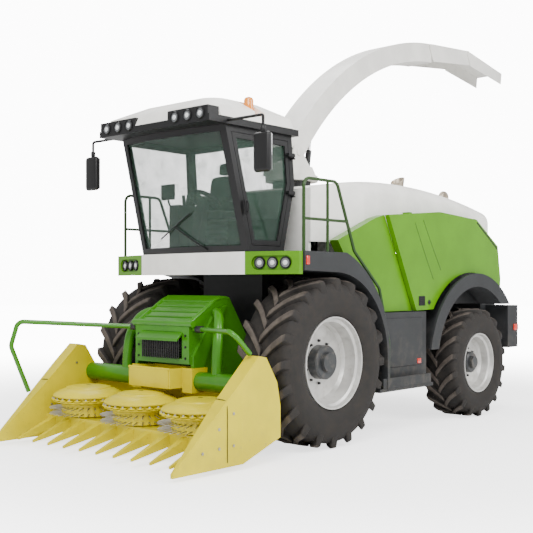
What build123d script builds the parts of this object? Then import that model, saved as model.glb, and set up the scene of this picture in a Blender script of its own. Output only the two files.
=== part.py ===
"""Self-propelled forage harvester with a three-rotor maize header and a raised discharge spout.

Millimetres, +Z up, front of the machine towards -Y, +X its left side.
The origin is on the floor, under the middle of the overall length.
"""

import os
from math import asin, atan2, cos, degrees, hypot, radians, sin, sqrt, tan

from build123d import *

# Driving sizes: wheels and axles
wheelbase = 3200
front_tyre_r = 920
front_tyre_width = 680
front_rim_r = 510
front_track = 2320
front_lugs = 20
front_lug_height = 48
front_hub_r = 185
rear_tyre_r = 722
rear_tyre_width = 540
rear_rim_r = 405
rear_track = 2380
rear_lugs = 18
rear_lug_height = 40
rear_hub_r = 140
stub_r = 70
kingpin_inset = 260

# Driving sizes: spout, seen from the side as an arc about a centre low behind the front axle
spout_arc_behind = 4350
spout_arc_z = 950
spout_outer_r = 4400
spout_depth = 270
spout_width = 400
spout_wall = 10
spout_base_angle = 145
spout_end_angle = 95
flap_length = 1150
flap_tip_length = 1050
flap_bend = 14

# Driving sizes: header
nose_ahead = 2340
rotor_pitch = 900
rotor_ahead = 1470
rotor_r = 385
rotor_tooth_r = 432
divider_width = 165

# The origin is midway between the divider tips and the end of the spout
spout_inner_r = spout_outer_r - spout_depth
spout_mid_r = spout_outer_r - spout_depth / 2
flap_pin_drop = 30
flap_pin_back = 0.3
flap_hinge_angle = spout_end_angle + flap_pin_back
flap_hinge_r = spout_outer_r - flap_pin_drop
flap_slope = flap_hinge_angle - 90
tip_slope = flap_slope - flap_bend
flap_hinge_behind = spout_arc_behind + flap_hinge_r * cos(radians(flap_hinge_angle))
flap_hinge_z = spout_arc_z + flap_hinge_r * sin(radians(flap_hinge_angle))
spout_tip_behind = (
    flap_hinge_behind
    + flap_length * cos(radians(flap_slope))
    + flap_tip_length * cos(radians(tip_slope))
)
front_axle_y = (nose_ahead - spout_tip_behind) / 2
rear_axle_y = front_axle_y + wheelbase

# Clearances
running = 0.3
side_gap = 6

# Chassis
rail_inner = 475
rail_width = 90
rail_z = 760
rail_height = 240
rail_top = rail_z + rail_height
tail_rail_inner = 275
rail_front_y = front_axle_y - 290
rail_neck_y = front_axle_y + 1150
rail_tail_y = front_axle_y + 1850
rail_rear_y = rear_axle_y + 1000
cross_width = 80
upper_beam_z = 1780
upper_beam_height = 80
upper_beam_x = 1000
upper_beam_width = 60
header_pivot_y = front_axle_y - 200
header_pivot_z = 900
header_pin_r = 35

# Platform, cab and roof
housing_top = 1860
housing_front_y = front_axle_y - 80
deck_z = 2110
deck_thickness = 130
deck_front_y = front_axle_y - 690
deck_rear_y = front_axle_y + 340
deck_half = 1000
fender_half = 1470
band_half = 830
band_z = 1870
cab_half = 850
cab_top = 3420
cab_wall = 60
glass = 10
cab_front_y = front_axle_y - 800
cab_lean = 330
visor_height = 70
roof_z = cab_top + visor_height
roof_top = 3750

# Body
tower_y = front_axle_y + 1000
tower_r = 240
tower_top = 3050
hood_half = 1120
hood_wall = 40
hood_floor_z = 2250
hood_front_y = front_axle_y + 230
hood_rear_y = rear_axle_y + 800
panel_x = 1300
arch_r = 1010
arch_face = 180

os.makedirs("parts", exist_ok=True)


def save(node, name):
    """Names a finished piece and writes it to its own file."""
    node.part.label = name
    export_step(node.part, f"parts/{name}.step")


def side_plane(x):
    """Plane at x whose sketch axes are the machine's Y and Z."""
    return Plane(origin=(x, 0, 0), x_dir=(0, 1, 0), z_dir=(1, 0, 0))


def front_plane(y):
    """Plane at y whose sketch axes are the machine's X and Z; extrudes towards the front."""
    return Plane(origin=(0, y, 0), x_dir=(1, 0, 0), z_dir=(0, -1, 0))


def block(x0, x1, y0, y1, z0, z1, mode=Mode.ADD):
    """A box between the given faces, in the part being built."""
    with BuildSketch(Plane.XY.offset(z0)) as drawn:
        with Locations(((x0 + x1) / 2, (y0 + y1) / 2)):
            Rectangle(abs(x1 - x0), abs(y1 - y0))
    extrude(drawn.sketch, amount=z1 - z0, mode=mode)


def twin_block(x0, x1, y0, y1, z0, z1, mode=Mode.ADD):
    """A box and its mirror image on the other side of the machine."""
    block(x0, x1, y0, y1, z0, z1, mode)
    block(-x1, -x0, y0, y1, z0, z1, mode)


def side_slab(points, x0, x1, mode=Mode.ADD):
    """A plate of the given (y, z) outline between two x faces."""
    with BuildSketch(side_plane(x0)) as drawn:
        with BuildLine():
            Polyline(*points, close=True)
        make_face()
    extrude(drawn.sketch, amount=x1 - x0, mode=mode)


def twin_slab(points, x0, x1, mode=Mode.ADD):
    """A side plate and its mirror image."""
    side_slab(points, x0, x1, mode)
    side_slab(points, -x1, -x0, mode)


def cross_bar(y, z, r, x0, x1, mode=Mode.ADD):
    """A round bar along X."""
    with BuildSketch(side_plane(x0)) as drawn:
        with Locations((y, z)):
            Circle(r)
    extrude(drawn.sketch, amount=x1 - x0, mode=mode)


def post(x, y, r, z0, z1, mode=Mode.ADD):
    """A round upright."""
    with BuildSketch(Plane.XY.offset(z0)) as drawn:
        with Locations((x, y)):
            Circle(r)
    extrude(drawn.sketch, amount=z1 - z0, mode=mode)


def tube(points, r, bend):
    """A round bar along straight runs joined by arcs of the given bend radius."""
    with BuildLine() as path:
        FilletPolyline(*points, radius=bend)
    start = path.line @ 0
    with BuildSketch(Plane(origin=start, z_dir=path.line % 0)) as drawn:
        Circle(r)
    sweep(drawn.sketch, path=path.line)


def mirrored(points):
    """The same path on the other side of the machine."""
    return [(-x, y, z) for x, y, z in points]


def arc_point(radius, angle):
    """(y, z) on the spout's arc, angle in degrees from +Y towards +Z."""
    return (
        front_axle_y + spout_arc_behind + radius * cos(radians(angle)),
        spout_arc_z + radius * sin(radians(angle)),
    )


# Tyres with slanted lugs


def tyre(name, side, track, axle_y, r, width, rim_r, lugs, lug_height):
    """A carcass turned about the axle with two rows of slanted lugs out to radius r."""
    centre_x = side * track / 2
    half = width / 2
    body_r = r - lug_height
    with BuildPart() as made:
        with BuildSketch(Plane(origin=(centre_x, axle_y, r), x_dir=(1, 0, 0), z_dir=(0, -1, 0))):
            with BuildLine():
                Polyline(
                    (-half * 0.85, rim_r - 12),
                    (-half * 0.97, rim_r + 60),
                    (-half, (rim_r + body_r) / 2),
                    (-half * 0.86, body_r - 30),
                    (0, body_r),
                    (half * 0.86, body_r - 30),
                    (half, (rim_r + body_r) / 2),
                    (half * 0.97, rim_r + 60),
                    (half * 0.85, rim_r - 12),
                    close=True,
                )
            make_face()
        revolve(axis=Axis((centre_x, axle_y, r), (1, 0, 0)))
        step = 360 / lugs
        reach = half * 0.98
        slant = reach * 0.62
        lug_half = body_r * radians(step) * 0.2
        top = sqrt(r * r - (slant / 2 + lug_half) ** 2)
        for row, lead in ((1, 0), (-1, 0.5)):
            planes = []
            for turn in range(lugs):
                angle = radians((turn + lead) * step)
                out = (0, cos(angle), sin(angle))
                foot = (centre_x, axle_y + out[1] * (body_r - 70), r + out[2] * (body_r - 70))
                planes.append(Plane(origin=foot, x_dir=(1, 0, 0), z_dir=out))
            with BuildSketch(*planes):
                with BuildLine():
                    Polyline(
                        (row * -15, slant / 2 - lug_half),
                        (row * reach, -slant / 2 - lug_half),
                        (row * reach, -slant / 2 + lug_half),
                        (row * -15, slant / 2 + lug_half * 0.7),
                        close=True,
                    )
                make_face()
            extrude(amount=top - body_r + 70)
    save(made, name)


# Rims with dished discs and hubs


def rim(name, side, track, axle_y, r, width, rim_r, hub_r, disc_in, hub_in):
    """A deep rim, its disc and hub, bored from inside for the stub axle."""
    half = width / 2 * 0.87
    seat_r = rim_r - 12 - running
    disc_x = half - disc_in
    hub_x = half - hub_in
    with BuildPart() as made:
        place = Plane(origin=(side * track / 2, axle_y, r), x_dir=(side, 0, 0), z_dir=(0, -side, 0))
        with BuildSketch(place):
            with BuildLine():
                Polyline(
                    (-half, seat_r),
                    (-half, seat_r - 30),
                    (-half * 0.7, seat_r - 45),
                    (disc_x - 24, seat_r - 80),
                    (disc_x - 24, hub_r),
                    (-half * 0.6, hub_r),
                    (-half * 0.6, stub_r + running),
                    (hub_x - 40, stub_r + running),
                    (hub_x - 40, 0),
                    (hub_x, 0),
                    (hub_x, hub_r * 0.55),
                    (hub_x - 40, hub_r * 0.6),
                    (hub_x - 40, hub_r - 15),
                    (hub_x - 55, hub_r),
                    (disc_x, hub_r),
                    (disc_x, seat_r - 95),
                    (disc_x + 40, seat_r - 70),
                    (half - 60, seat_r - 55),
                    (half - 45, seat_r - 28),
                    (half, seat_r - 16),
                    (half, seat_r),
                    close=True,
                )
            make_face()
        revolve(axis=Axis((side * track / 2, axle_y, r), (1, 0, 0)))
    save(made, name)


front_hub_in = 70
rear_hub_in = 70
for side, word in ((1, "left"), (-1, "right")):
    tyre(f"front_tyre_{word}", side, front_track, front_axle_y, front_tyre_r,
         front_tyre_width, front_rim_r, front_lugs, front_lug_height)
    rim(f"front_rim_{word}", side, front_track, front_axle_y, front_tyre_r,
        front_tyre_width, front_rim_r, front_hub_r, 230, front_hub_in)
    tyre(f"rear_tyre_{word}", side, rear_track, rear_axle_y, rear_tyre_r,
         rear_tyre_width, rear_rim_r, rear_lugs, rear_lug_height)
    rim(f"rear_rim_{word}", side, rear_track, rear_axle_y, rear_tyre_r,
        rear_tyre_width, rear_rim_r, rear_hub_r, 190, rear_hub_in)

# Chassis: rails, cross members, upper beams, header pins and front axle with its final drives
rail_plan = [
    (rail_inner, rail_front_y),
    (rail_inner + rail_width, rail_front_y),
    (rail_inner + rail_width, rail_neck_y),
    (tail_rail_inner + rail_width, rail_tail_y),
    (tail_rail_inner + rail_width, rail_rear_y),
    (tail_rail_inner, rail_rear_y),
    (tail_rail_inner, rail_tail_y),
    (rail_inner, rail_neck_y),
]
axle_half_y = 110
axle_beam_z = 560
drive_x = 600
drive_end_x = 790
drive_r = 190
front_half = front_tyre_width / 2 * 0.87
front_stub_end = front_track / 2 + front_half - front_hub_in - 45
post_y = rail_tail_y + 50
rear_post_y = rail_rear_y - 270
tank_inner_x = 900
tank_front_y = front_axle_y + 1080
with BuildPart() as chassis:
    for side in (1, -1):
        with BuildSketch(Plane.XY.offset(rail_z)):
            with BuildLine():
                Polyline(*[(side * x, y) for x, y in rail_plan], close=True)
            make_face()
        extrude(amount=rail_height)
    for y in (rear_axle_y - 500, rail_rear_y - 180):
        block(-tail_rail_inner - 20, tail_rail_inner + 20, y, y + cross_width, rail_z + 40, rail_top - 20)
    block(-rail_inner - 5, rail_inner + 5, rail_neck_y, rail_neck_y + cross_width, rail_z + 40, rail_top - 20)
    block(-tail_rail_inner - 20, tail_rail_inner + 20, rear_axle_y - 150, rear_axle_y + 150, rail_z - 20, rail_top - 20)
    for y in (post_y, rear_post_y):
        twin_block(tail_rail_inner, tail_rail_inner + rail_width, y, y + 60, rail_top, upper_beam_z)
        block(-upper_beam_x, upper_beam_x, y, y + 60, upper_beam_z, upper_beam_z + upper_beam_height)
    twin_block(upper_beam_x, upper_beam_x + upper_beam_width, post_y, rear_post_y + 60,
               upper_beam_z, upper_beam_z + upper_beam_height)
    twin_block(rail_inner + 5, tank_inner_x, tank_front_y + 120, tank_front_y + 200, rail_z + 100, rail_top - 40)
    cross_bar(header_pivot_y, header_pivot_z, header_pin_r, 436, rail_inner + 5)
    cross_bar(header_pivot_y, header_pivot_z, header_pin_r, -rail_inner - 5, -436)
    block(-drive_x - 60, drive_x + 60, front_axle_y - axle_half_y, front_axle_y + axle_half_y, axle_beam_z, rail_z)
    for side in (1, -1):
        x0, x1 = sorted((side * drive_x, side * drive_end_x))
        block(x0, x1, front_axle_y - axle_half_y, front_axle_y + axle_half_y, axle_beam_z, front_tyre_r)
        cross_bar(front_axle_y, front_tyre_r, drive_r, x0, x1)
        x0, x1 = sorted((side * (drive_end_x - 10), side * front_stub_end))
        cross_bar(front_axle_y, front_tyre_r, stub_r, x0, x1)
    for x in (300, -300):
        block(x - 55, x - 33, front_axle_y - 205, front_axle_y - axle_half_y, 580, 660)
        block(x + 33, x + 55, front_axle_y - 205, front_axle_y - axle_half_y, 580, 660)
        cross_bar(front_axle_y - 170, 620, 18, x - 55, x + 55)
save(chassis, "chassis_frame")

# Rear axle with king-pin forks
kingpin_x = rear_track / 2 - kingpin_inset
pin_r = 35
fork_out = 160
fork_plate = 30
axle_end_x = kingpin_x - 150
with BuildPart() as rear_axle:
    block(-axle_end_x, axle_end_x, rear_axle_y - 90, rear_axle_y + 90, rear_tyre_r - fork_out, rail_z - 20)
    twin_block(420, axle_end_x, rear_axle_y - 90, rear_axle_y + 90,
               rear_tyre_r - fork_out, rear_tyre_r + fork_out)
    for z in (rear_tyre_r - fork_out, rear_tyre_r + fork_out - fork_plate):
        twin_block(axle_end_x - 10, kingpin_x + 55, rear_axle_y - 90, rear_axle_y + 90, z, z + fork_plate)
    for x in (kingpin_x, -kingpin_x):
        post(x, rear_axle_y, pin_r, rear_tyre_r - fork_out, rear_tyre_r + fork_out)
save(rear_axle, "rear_axle")

# Steering knuckles, the arms ahead of the pins for the tie rod
knuckle_r = 75
knuckle_half = fork_out - fork_plate - side_gap
arm_ahead = 250
arm_eye_r = 40
tie_pin_r = 16
rear_half = rear_tyre_width / 2 * 0.87
rear_stub_end = rear_track / 2 + rear_half - rear_hub_in - 45
arm_z = rear_tyre_r - 100
for side, word in ((1, "left"), (-1, "right")):
    with BuildPart() as knuckle:
        post(side * kingpin_x, rear_axle_y, knuckle_r, rear_tyre_r - knuckle_half, rear_tyre_r + knuckle_half)
        x0, x1 = sorted((side * (kingpin_x + 40), side * rear_stub_end))
        cross_bar(rear_axle_y, rear_tyre_r, stub_r, x0, x1)
        block(side * kingpin_x - 30, side * kingpin_x + 30, rear_axle_y - arm_ahead, rear_axle_y - 50,
              arm_z - 20, arm_z + 20)
        post(side * kingpin_x, rear_axle_y - arm_ahead, arm_eye_r, arm_z - 20, arm_z + 20)
        post(side * kingpin_x, rear_axle_y - arm_ahead, tie_pin_r, arm_z - 70, arm_z)
        post(side * kingpin_x, rear_axle_y, pin_r + running, rear_tyre_r - fork_out, rear_tyre_r + fork_out,
             Mode.SUBTRACT)
    save(knuckle, f"knuckle_{word}")

# Tie rod between the two steering arms
with BuildPart() as tie_rod:
    cross_bar(rear_axle_y - arm_ahead, arm_z - 48, 18, -kingpin_x, kingpin_x)
    for x in (kingpin_x, -kingpin_x):
        post(x, rear_axle_y - arm_ahead, 34, arm_z - 68, arm_z - 28)
    for x in (kingpin_x, -kingpin_x):
        post(x, rear_axle_y - arm_ahead, tie_pin_r + running, arm_z - 80, arm_z, Mode.SUBTRACT)
save(tie_rod, "tie_rod")

# Engine as one plain block at its place
with BuildPart() as engine:
    block(-340, 340, rear_axle_y - 950, rear_axle_y + 600, rail_top, 1950)
save(engine, "engine")

# Chopper housing with the discharge tower on it
with BuildPart() as chopper:
    side_slab(
        [
            (housing_front_y, 880),
            (front_axle_y + 300, rail_z + 40),
            (front_axle_y + 1100, 1100),
            (front_axle_y + 1250, housing_top),
            (housing_front_y, housing_top),
        ],
        -rail_inner, rail_inner,
    )
    block(-tower_r, tower_r, tower_y - 220, tower_y + 220, housing_top, tower_top - 150)
    post(0, tower_y, tower_r, tower_top - 150, tower_top)
    post(0, tower_y, tower_r - 40, housing_top, tower_top, Mode.SUBTRACT)
save(chopper, "chopper_housing")

# Platform under the cab
deck_plan = [
    (-band_half, deck_front_y),
    (band_half, deck_front_y),
    (deck_half, deck_front_y + 40),
    (deck_half, deck_rear_y),
    (-deck_half, deck_rear_y),
    (-deck_half, deck_front_y + 40),
]
with BuildPart() as deck:
    with BuildSketch(Plane.XY.offset(deck_z - deck_thickness)):
        with BuildLine():
            Polyline(*deck_plan, close=True)
        make_face()
    extrude(amount=deck_thickness)
    block(-rail_inner, rail_inner, housing_front_y, deck_rear_y, housing_top, deck_z - deck_thickness)
save(deck, "cab_platform")

# White band across the front and green lamp corners
band_front_y = deck_front_y - 60
corner_back_y = deck_front_y + 150
with BuildPart() as band:
    with BuildSketch(Plane.XY.offset(band_z)):
        with BuildLine():
            Line((-band_half, deck_front_y), (band_half, deck_front_y))
            Line((band_half, deck_front_y), (band_half, band_front_y))
            ThreePointArc((band_half, band_front_y), (0, band_front_y - 50), (-band_half, band_front_y))
            Line((-band_half, band_front_y), (-band_half, deck_front_y))
        make_face()
    extrude(amount=deck_z - band_z)
save(band, "front_band")

corner_plan = [
    (band_half, band_front_y),
    (fender_half - 20, corner_back_y - 60),
    (fender_half - 20, corner_back_y),
    (deck_half, deck_front_y + 40),
    (band_half, deck_front_y),
]
lamp_depth = 30
corner_turn = degrees(atan2(corner_back_y - 60 - band_front_y, fender_half - 20 - band_half))
corner_mid = ((band_half + fender_half - 20) / 2, (band_front_y + corner_back_y - 60) / 2)
lamp_z = (band_z + deck_z) / 2
lamp_pitch = 150
with BuildPart() as corners:
    for side in (1, -1):
        with BuildSketch(Plane.XY.offset(band_z)):
            with BuildLine():
                Polyline(*[(side * x, y) for x, y in corner_plan], close=True)
            make_face()
        extrude(amount=deck_z - band_z)
        out = (side * sin(radians(corner_turn)), -cos(radians(corner_turn)), 0)
        face = Plane(origin=(side * corner_mid[0], corner_mid[1], lamp_z),
                     x_dir=(cos(radians(corner_turn)), side * sin(radians(corner_turn)), 0), z_dir=out)
        with BuildSketch(face):
            SlotOverall(480, 150)
        extrude(amount=-lamp_depth, mode=Mode.SUBTRACT)
save(corners, "lamp_panels")

# Cab: outer and inner volumes with a leaning bowed front and a bellied back
cab_back_low = front_axle_y - 150
cab_back_mid = front_axle_y + 60
cab_back_high = front_axle_y + 20
cab_mid_z = 2880


def cab_outline(z, inset):
    """Plan of the cab at height z, drawn in by inset."""
    rise = (z - deck_z) / (cab_top - deck_z)
    front = cab_front_y - cab_lean * rise + inset
    back = {deck_z: cab_back_low, cab_mid_z: cab_back_mid, cab_top: cab_back_high}[z] - inset
    half = cab_half - 25 * rise - inset
    with BuildSketch(Plane.XY.offset(z)) as drawn:
        with BuildLine():
            Line((half, front + 90), (half, back))
            Line((half, back), (-half, back))
            Line((-half, back), (-half, front + 90))
            ThreePointArc((-half, front + 90), (0, front), (half, front + 90))
        make_face()
    return drawn.sketch


def cab_volume(inset):
    """The cab's whole volume, drawn in by inset."""
    with BuildPart() as made:
        plans = [cab_outline(z, inset) for z in (deck_z, cab_mid_z, cab_top)]
        loft(plans, ruled=True)
    return made.part


pillar = 70
sill_z = deck_z + 70
head_z = cab_top - 60


def front_y(z):
    """Front of the cab's side wall at height z."""
    return cab_front_y + 90 - cab_lean * (z - deck_z) / (cab_top - deck_z)


def back_y(z):
    """Back of the cab at height z."""
    if z < cab_mid_z:
        return cab_back_low + (cab_back_mid - cab_back_low) * (z - deck_z) / (cab_mid_z - deck_z)
    return cab_back_mid + (cab_back_high - cab_back_mid) * (z - cab_mid_z) / (cab_top - cab_mid_z)


def door_outline(grow):
    """(y, z) outline of the side opening, let out by grow."""
    low = sill_z - grow
    high = head_z + grow
    return [
        (front_y(low) + pillar - grow, low),
        (front_y(high) + pillar - grow, high),
        (back_y(high) - pillar + grow, high),
        (back_y(cab_mid_z) - pillar + grow, cab_mid_z),
        (back_y(low) - pillar + grow, low),
    ]


outer_cab = cab_volume(0)
inner_cab = cab_volume(cab_wall)
outer_glass = cab_volume(20)
inner_glass = cab_volume(20 + glass)
screen_half = cab_half - pillar - 15
hinge_y = front_axle_y + 10
hinge_x = cab_half + 14
hinge_pin_r = 10
hinge_levels = (2780, 3200)
pod_x = 560
pod_half = 300
visor_front_y = cab_front_y - cab_lean - 200
visor_back_y = cab_back_high + 60
visor_half = cab_half + 30
with BuildPart() as cab:
    add(outer_cab)
    add(inner_cab, mode=Mode.SUBTRACT)
    block(-cab_half + 40, cab_half - 40, cab_front_y + 120, cab_back_low - 20, deck_z, deck_z + 40)
    side_slab(door_outline(0), cab_half - 150, cab_half + 50, Mode.SUBTRACT)
    side_slab(door_outline(0), -cab_half - 50, -cab_half + 150, Mode.SUBTRACT)
    with BuildSketch(front_plane(front_axle_y - 600)):
        with BuildLine():
            Polyline(
                (-screen_half, sill_z), (screen_half, sill_z),
                (screen_half - 20, head_z), (-screen_half + 20, head_z), close=True,
            )
        make_face()
    extrude(amount=800, mode=Mode.SUBTRACT)
    block(-screen_half + 40, screen_half - 40, front_axle_y - 200, front_axle_y + 200, 2500, head_z, Mode.SUBTRACT)
    for z in hinge_levels:
        block(cab_half - 60, hinge_x + 14, hinge_y - 14, hinge_y + 14, z - 45, z - 25)
        post(hinge_x, hinge_y, hinge_pin_r, z - 30, z + 25)
    block(-visor_half, visor_half, visor_front_y, visor_back_y, cab_top, roof_z)
    twin_block(pod_x - pod_half, pod_x + pod_half, visor_front_y, visor_front_y + 160, roof_z, roof_z + 90)
save(cab, "cab_frame")

# Windscreen, right window and rear window
with BuildPart() as panes:
    with BuildSketch(front_plane(front_axle_y - 600)):
        with BuildLine():
            Polyline(
                (-screen_half, sill_z), (screen_half, sill_z),
                (screen_half - 20, head_z), (-screen_half + 20, head_z), close=True,
            )
        make_face()
    extrude(amount=800)
    side_slab(door_outline(0), -cab_half - 50, -cab_half + 150)
    block(-screen_half + 40, screen_half - 40, front_axle_y - 200, front_axle_y + 200, 2500, head_z)
    add(outer_glass, mode=Mode.INTERSECT)
    add(inner_glass, mode=Mode.SUBTRACT)
save(panes, "cab_glass")

# Door in the left side, its frame and its pane
door_gap = 6
door_edge = 60
with BuildPart() as door:
    side_slab(door_outline(-door_gap), cab_half - 150, cab_half + 50)
    add(outer_cab, mode=Mode.INTERSECT)
    add(cab_volume(45), mode=Mode.SUBTRACT)
    side_slab(door_outline(-door_edge), cab_half - 150, cab_half + 50, Mode.SUBTRACT)
    for z in hinge_levels:
        block(cab_half - 50, hinge_x + 14, hinge_y - 95, hinge_y - 60, z - 18, z + 18)
        block(cab_half + 2, hinge_x + 14, hinge_y - 95, hinge_y + 14, z - 18, z + 18)
        post(hinge_x, hinge_y, hinge_pin_r + running, z - 30, z + 30, Mode.SUBTRACT)
save(door, "cab_door")

with BuildPart() as door_pane:
    side_slab(door_outline(-door_edge), cab_half - 150, cab_half + 50)
    add(outer_glass, mode=Mode.INTERSECT)
    add(inner_glass, mode=Mode.SUBTRACT)
save(door_pane, "door_glass")

# Roof with a flat for the beacon
beacon_x = 690
beacon_y = front_axle_y - 540
beacon_z = roof_z + 70
roof_mid_y = (visor_front_y + visor_back_y) / 2
roof_length = visor_back_y - visor_front_y
with BuildPart() as roof:
    with BuildSketch(Plane.XY.offset(roof_z)):
        with Locations((0, roof_mid_y)):
            RectangleRounded(2 * visor_half + 20, roof_length, 120)
    with BuildSketch(Plane.XY.offset(roof_z + 120)):
        with Locations((0, roof_mid_y + 20)):
            RectangleRounded(2 * visor_half - 60, roof_length - 80, 140)
    with BuildSketch(Plane.XY.offset(roof_top)):
        with Locations((0, roof_mid_y + 60)):
            RectangleRounded(2 * visor_half - 560, roof_length - 560, 200)
    loft(ruled=True)
    twin_block(pod_x - pod_half, pod_x + pod_half + 100, visor_front_y - 50, visor_front_y + 160,
               roof_z, roof_z + 90, Mode.SUBTRACT)
    block(beacon_x - 80, beacon_x + 400, beacon_y - 80, beacon_y + 80, beacon_z, roof_top + 50, Mode.SUBTRACT)
save(roof, "cab_roof")

# Seat
seat_y = front_axle_y - 330
with BuildPart() as seat:
    block(-150, 150, seat_y - 150, seat_y + 120, deck_z + 40, 2480)
    block(-260, 260, seat_y - 190, seat_y + 190, 2480, 2600)
    side_slab([(seat_y + 90, 2600), (seat_y + 190, 2600), (seat_y + 250, 3180), (seat_y + 170, 3180)], -240, 240)
save(seat, "cab_seat")

# Steering column with its wheel, and the side console
column_y = front_axle_y - 670
with BuildPart() as controls:
    side_slab([(column_y - 60, deck_z + 40), (column_y + 60, deck_z + 40), (column_y + 160, 2700), (column_y + 90, 2720)],
              -60, 60)
    with BuildSketch(Plane(origin=(0, column_y + 130, 2702), x_dir=(1, 0, 0), z_dir=(0, 0.45, 0.9))):
        Circle(200)
        Circle(165, mode=Mode.SUBTRACT)
        Rectangle(340, 40)
        Rectangle(40, 340)
    extrude(amount=28)
    block(-480, -310, seat_y - 300, seat_y + 90, deck_z + 40, 2680)
save(controls, "cab_controls")

# Mirrors on arms from the visor
mirror_x = 1360
mirror_y = front_axle_y - 1050
mirror_path = [
    (visor_half, mirror_y, roof_z - 35),
    (mirror_x, mirror_y, roof_z - 35),
    (mirror_x, mirror_y, 3200),
]
with BuildPart() as mirrors:
    tube(mirror_path, 16, 60)
    tube(mirrored(mirror_path), 16, 60)
    twin_block(mirror_x - 110, mirror_x + 110, mirror_y - 45, mirror_y + 35, 2880, 3280)
save(mirrors, "mirrors")

# Round lamps in the corner panels and on the roof pods
lamp_r = 58
with BuildPart() as lamps:
    for side in (1, -1):
        out = (side * sin(radians(corner_turn)), -cos(radians(corner_turn)), 0)
        face = Plane(origin=(side * corner_mid[0], corner_mid[1], lamp_z),
                     x_dir=(cos(radians(corner_turn)), side * sin(radians(corner_turn)), 0), z_dir=out)
        with BuildSketch(face.offset(-lamp_depth)):
            with Locations((-lamp_pitch, 0), (0, 0), (lamp_pitch, 0)):
                Circle(lamp_r)
        extrude(amount=lamp_depth - 6)
    for x in (pod_x - 190, pod_x, pod_x + 190):
        with BuildSketch(front_plane(visor_front_y)):
            with Locations((x, roof_z + 15), (-x, roof_z + 15)):
                Circle(lamp_r)
        extrude(amount=25)
save(lamps, "work_lamps")

# Fenders over the front wheels
fender_front_y = front_axle_y - 530
fender_low_y = front_axle_y + 1000
fender_low_z = 560
fender_top_y = front_axle_y + 190
fender_inner_r = front_tyre_r + 55
fender_back_r = fender_inner_r + 45
with BuildPart() as fenders:
    for x in (deck_half, -fender_half):
        with BuildSketch(side_plane(x)):
            with BuildLine():
                Polyline(
                    (fender_top_y, deck_z),
                    (fender_front_y, deck_z),
                    (fender_front_y, deck_z - 200),
                    (front_axle_y, front_tyre_r + fender_inner_r),
                )
                ThreePointArc(
                    (front_axle_y, front_tyre_r + fender_inner_r),
                    (front_axle_y + fender_inner_r * sin(radians(45)), front_tyre_r + fender_inner_r * cos(radians(45))),
                    (front_axle_y + fender_inner_r, front_tyre_r),
                )
                Polyline(
                    (front_axle_y + fender_inner_r, front_tyre_r),
                    (front_axle_y + fender_inner_r, fender_low_z),
                    (front_axle_y + fender_back_r, fender_low_z),
                    (front_axle_y + fender_back_r, front_tyre_r),
                )
                ThreePointArc(
                    (front_axle_y + fender_back_r, front_tyre_r),
                    (front_axle_y + 800, 1640),
                    (fender_top_y, deck_z),
                )
            make_face()
        extrude(amount=fender_half - deck_half)
save(fenders, "front_fenders")

# Handrails along the fenders' outer edges
rail_x = 1430
rail_path = [
    (rail_x, front_axle_y - 500, deck_z),
    (rail_x, front_axle_y - 500, 2870),
    (rail_x, front_axle_y + 60, 2870),
    (rail_x, front_axle_y + 380, 2130),
    (rail_x, front_axle_y + 860, 1720),
    (rail_x, front_axle_y + 1050, 1100),
    (rail_x, front_axle_y + 1050, 560),
]
mid_rail = [(rail_x, front_axle_y - 500, 2450), (rail_x, front_axle_y + 223, 2450)]
with BuildPart() as rails:
    for side in (1, -1):
        tube([(side * x, y, z) for x, y, z in rail_path], 18, 90)
        with BuildSketch(front_plane(front_axle_y + 223)):
            with Locations((side * rail_x, 2450)):
                Circle(16)
        extrude(amount=723)
        post(side * rail_x, front_axle_y - 100, 16, deck_z, 2870)
save(rails, "handrails")

# Side tanks on a sill
tank_rear_y = front_axle_y + 1990
tank_z = 560
tank_top = 1430
tank_outer = 1350
with BuildPart() as tanks:
    twin_block(tank_inner_x, tank_outer, tank_front_y, tank_rear_y, tank_z, tank_top)
    twin_block(1000, 1450, fender_low_y - 150, tank_rear_y, tank_z - 40, tank_z)
save(tanks, "side_tanks")

# Rear fenders: arches about the rear axle with a broad side face and a pad under the upper beam
arch_tail_z = 1490
with BuildPart() as arches:
    for x0, x1, outer in ((tank_inner_x, 1370, 30), (1370, 1400, arch_face)):
        for side in (1, -1):
            start, end = sorted((side * x0, side * x1))
            with BuildSketch(side_plane(start)) as ring:
                with Locations((rear_axle_y, rear_tyre_r)):
                    Circle(arch_r + outer)
                    Circle(arch_r, mode=Mode.SUBTRACT)
                with Locations((rear_axle_y, rear_tyre_r + 230 - 1000)):
                    Rectangle(3000, 2000, mode=Mode.SUBTRACT)
                with Locations((rear_axle_y + 1000, arch_tail_z - 1000)):
                    Rectangle(2000, 2000, mode=Mode.SUBTRACT)
            extrude(amount=end - start)
    twin_block(upper_beam_x, upper_beam_x + upper_beam_width, rear_axle_y - 150, rear_axle_y + 150,
               rear_tyre_r + arch_r + 5, upper_beam_z)
save(arches, "rear_fenders")

# Hood over the engine: a curved top with rounded long edges, open below
hood_line = [
    (hood_front_y, 2860),
    (front_axle_y + 1000, 2985),
    (front_axle_y + 2000, 3020),
    (front_axle_y + 3200, 2930),
    (hood_rear_y, 2800),
]


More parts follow.
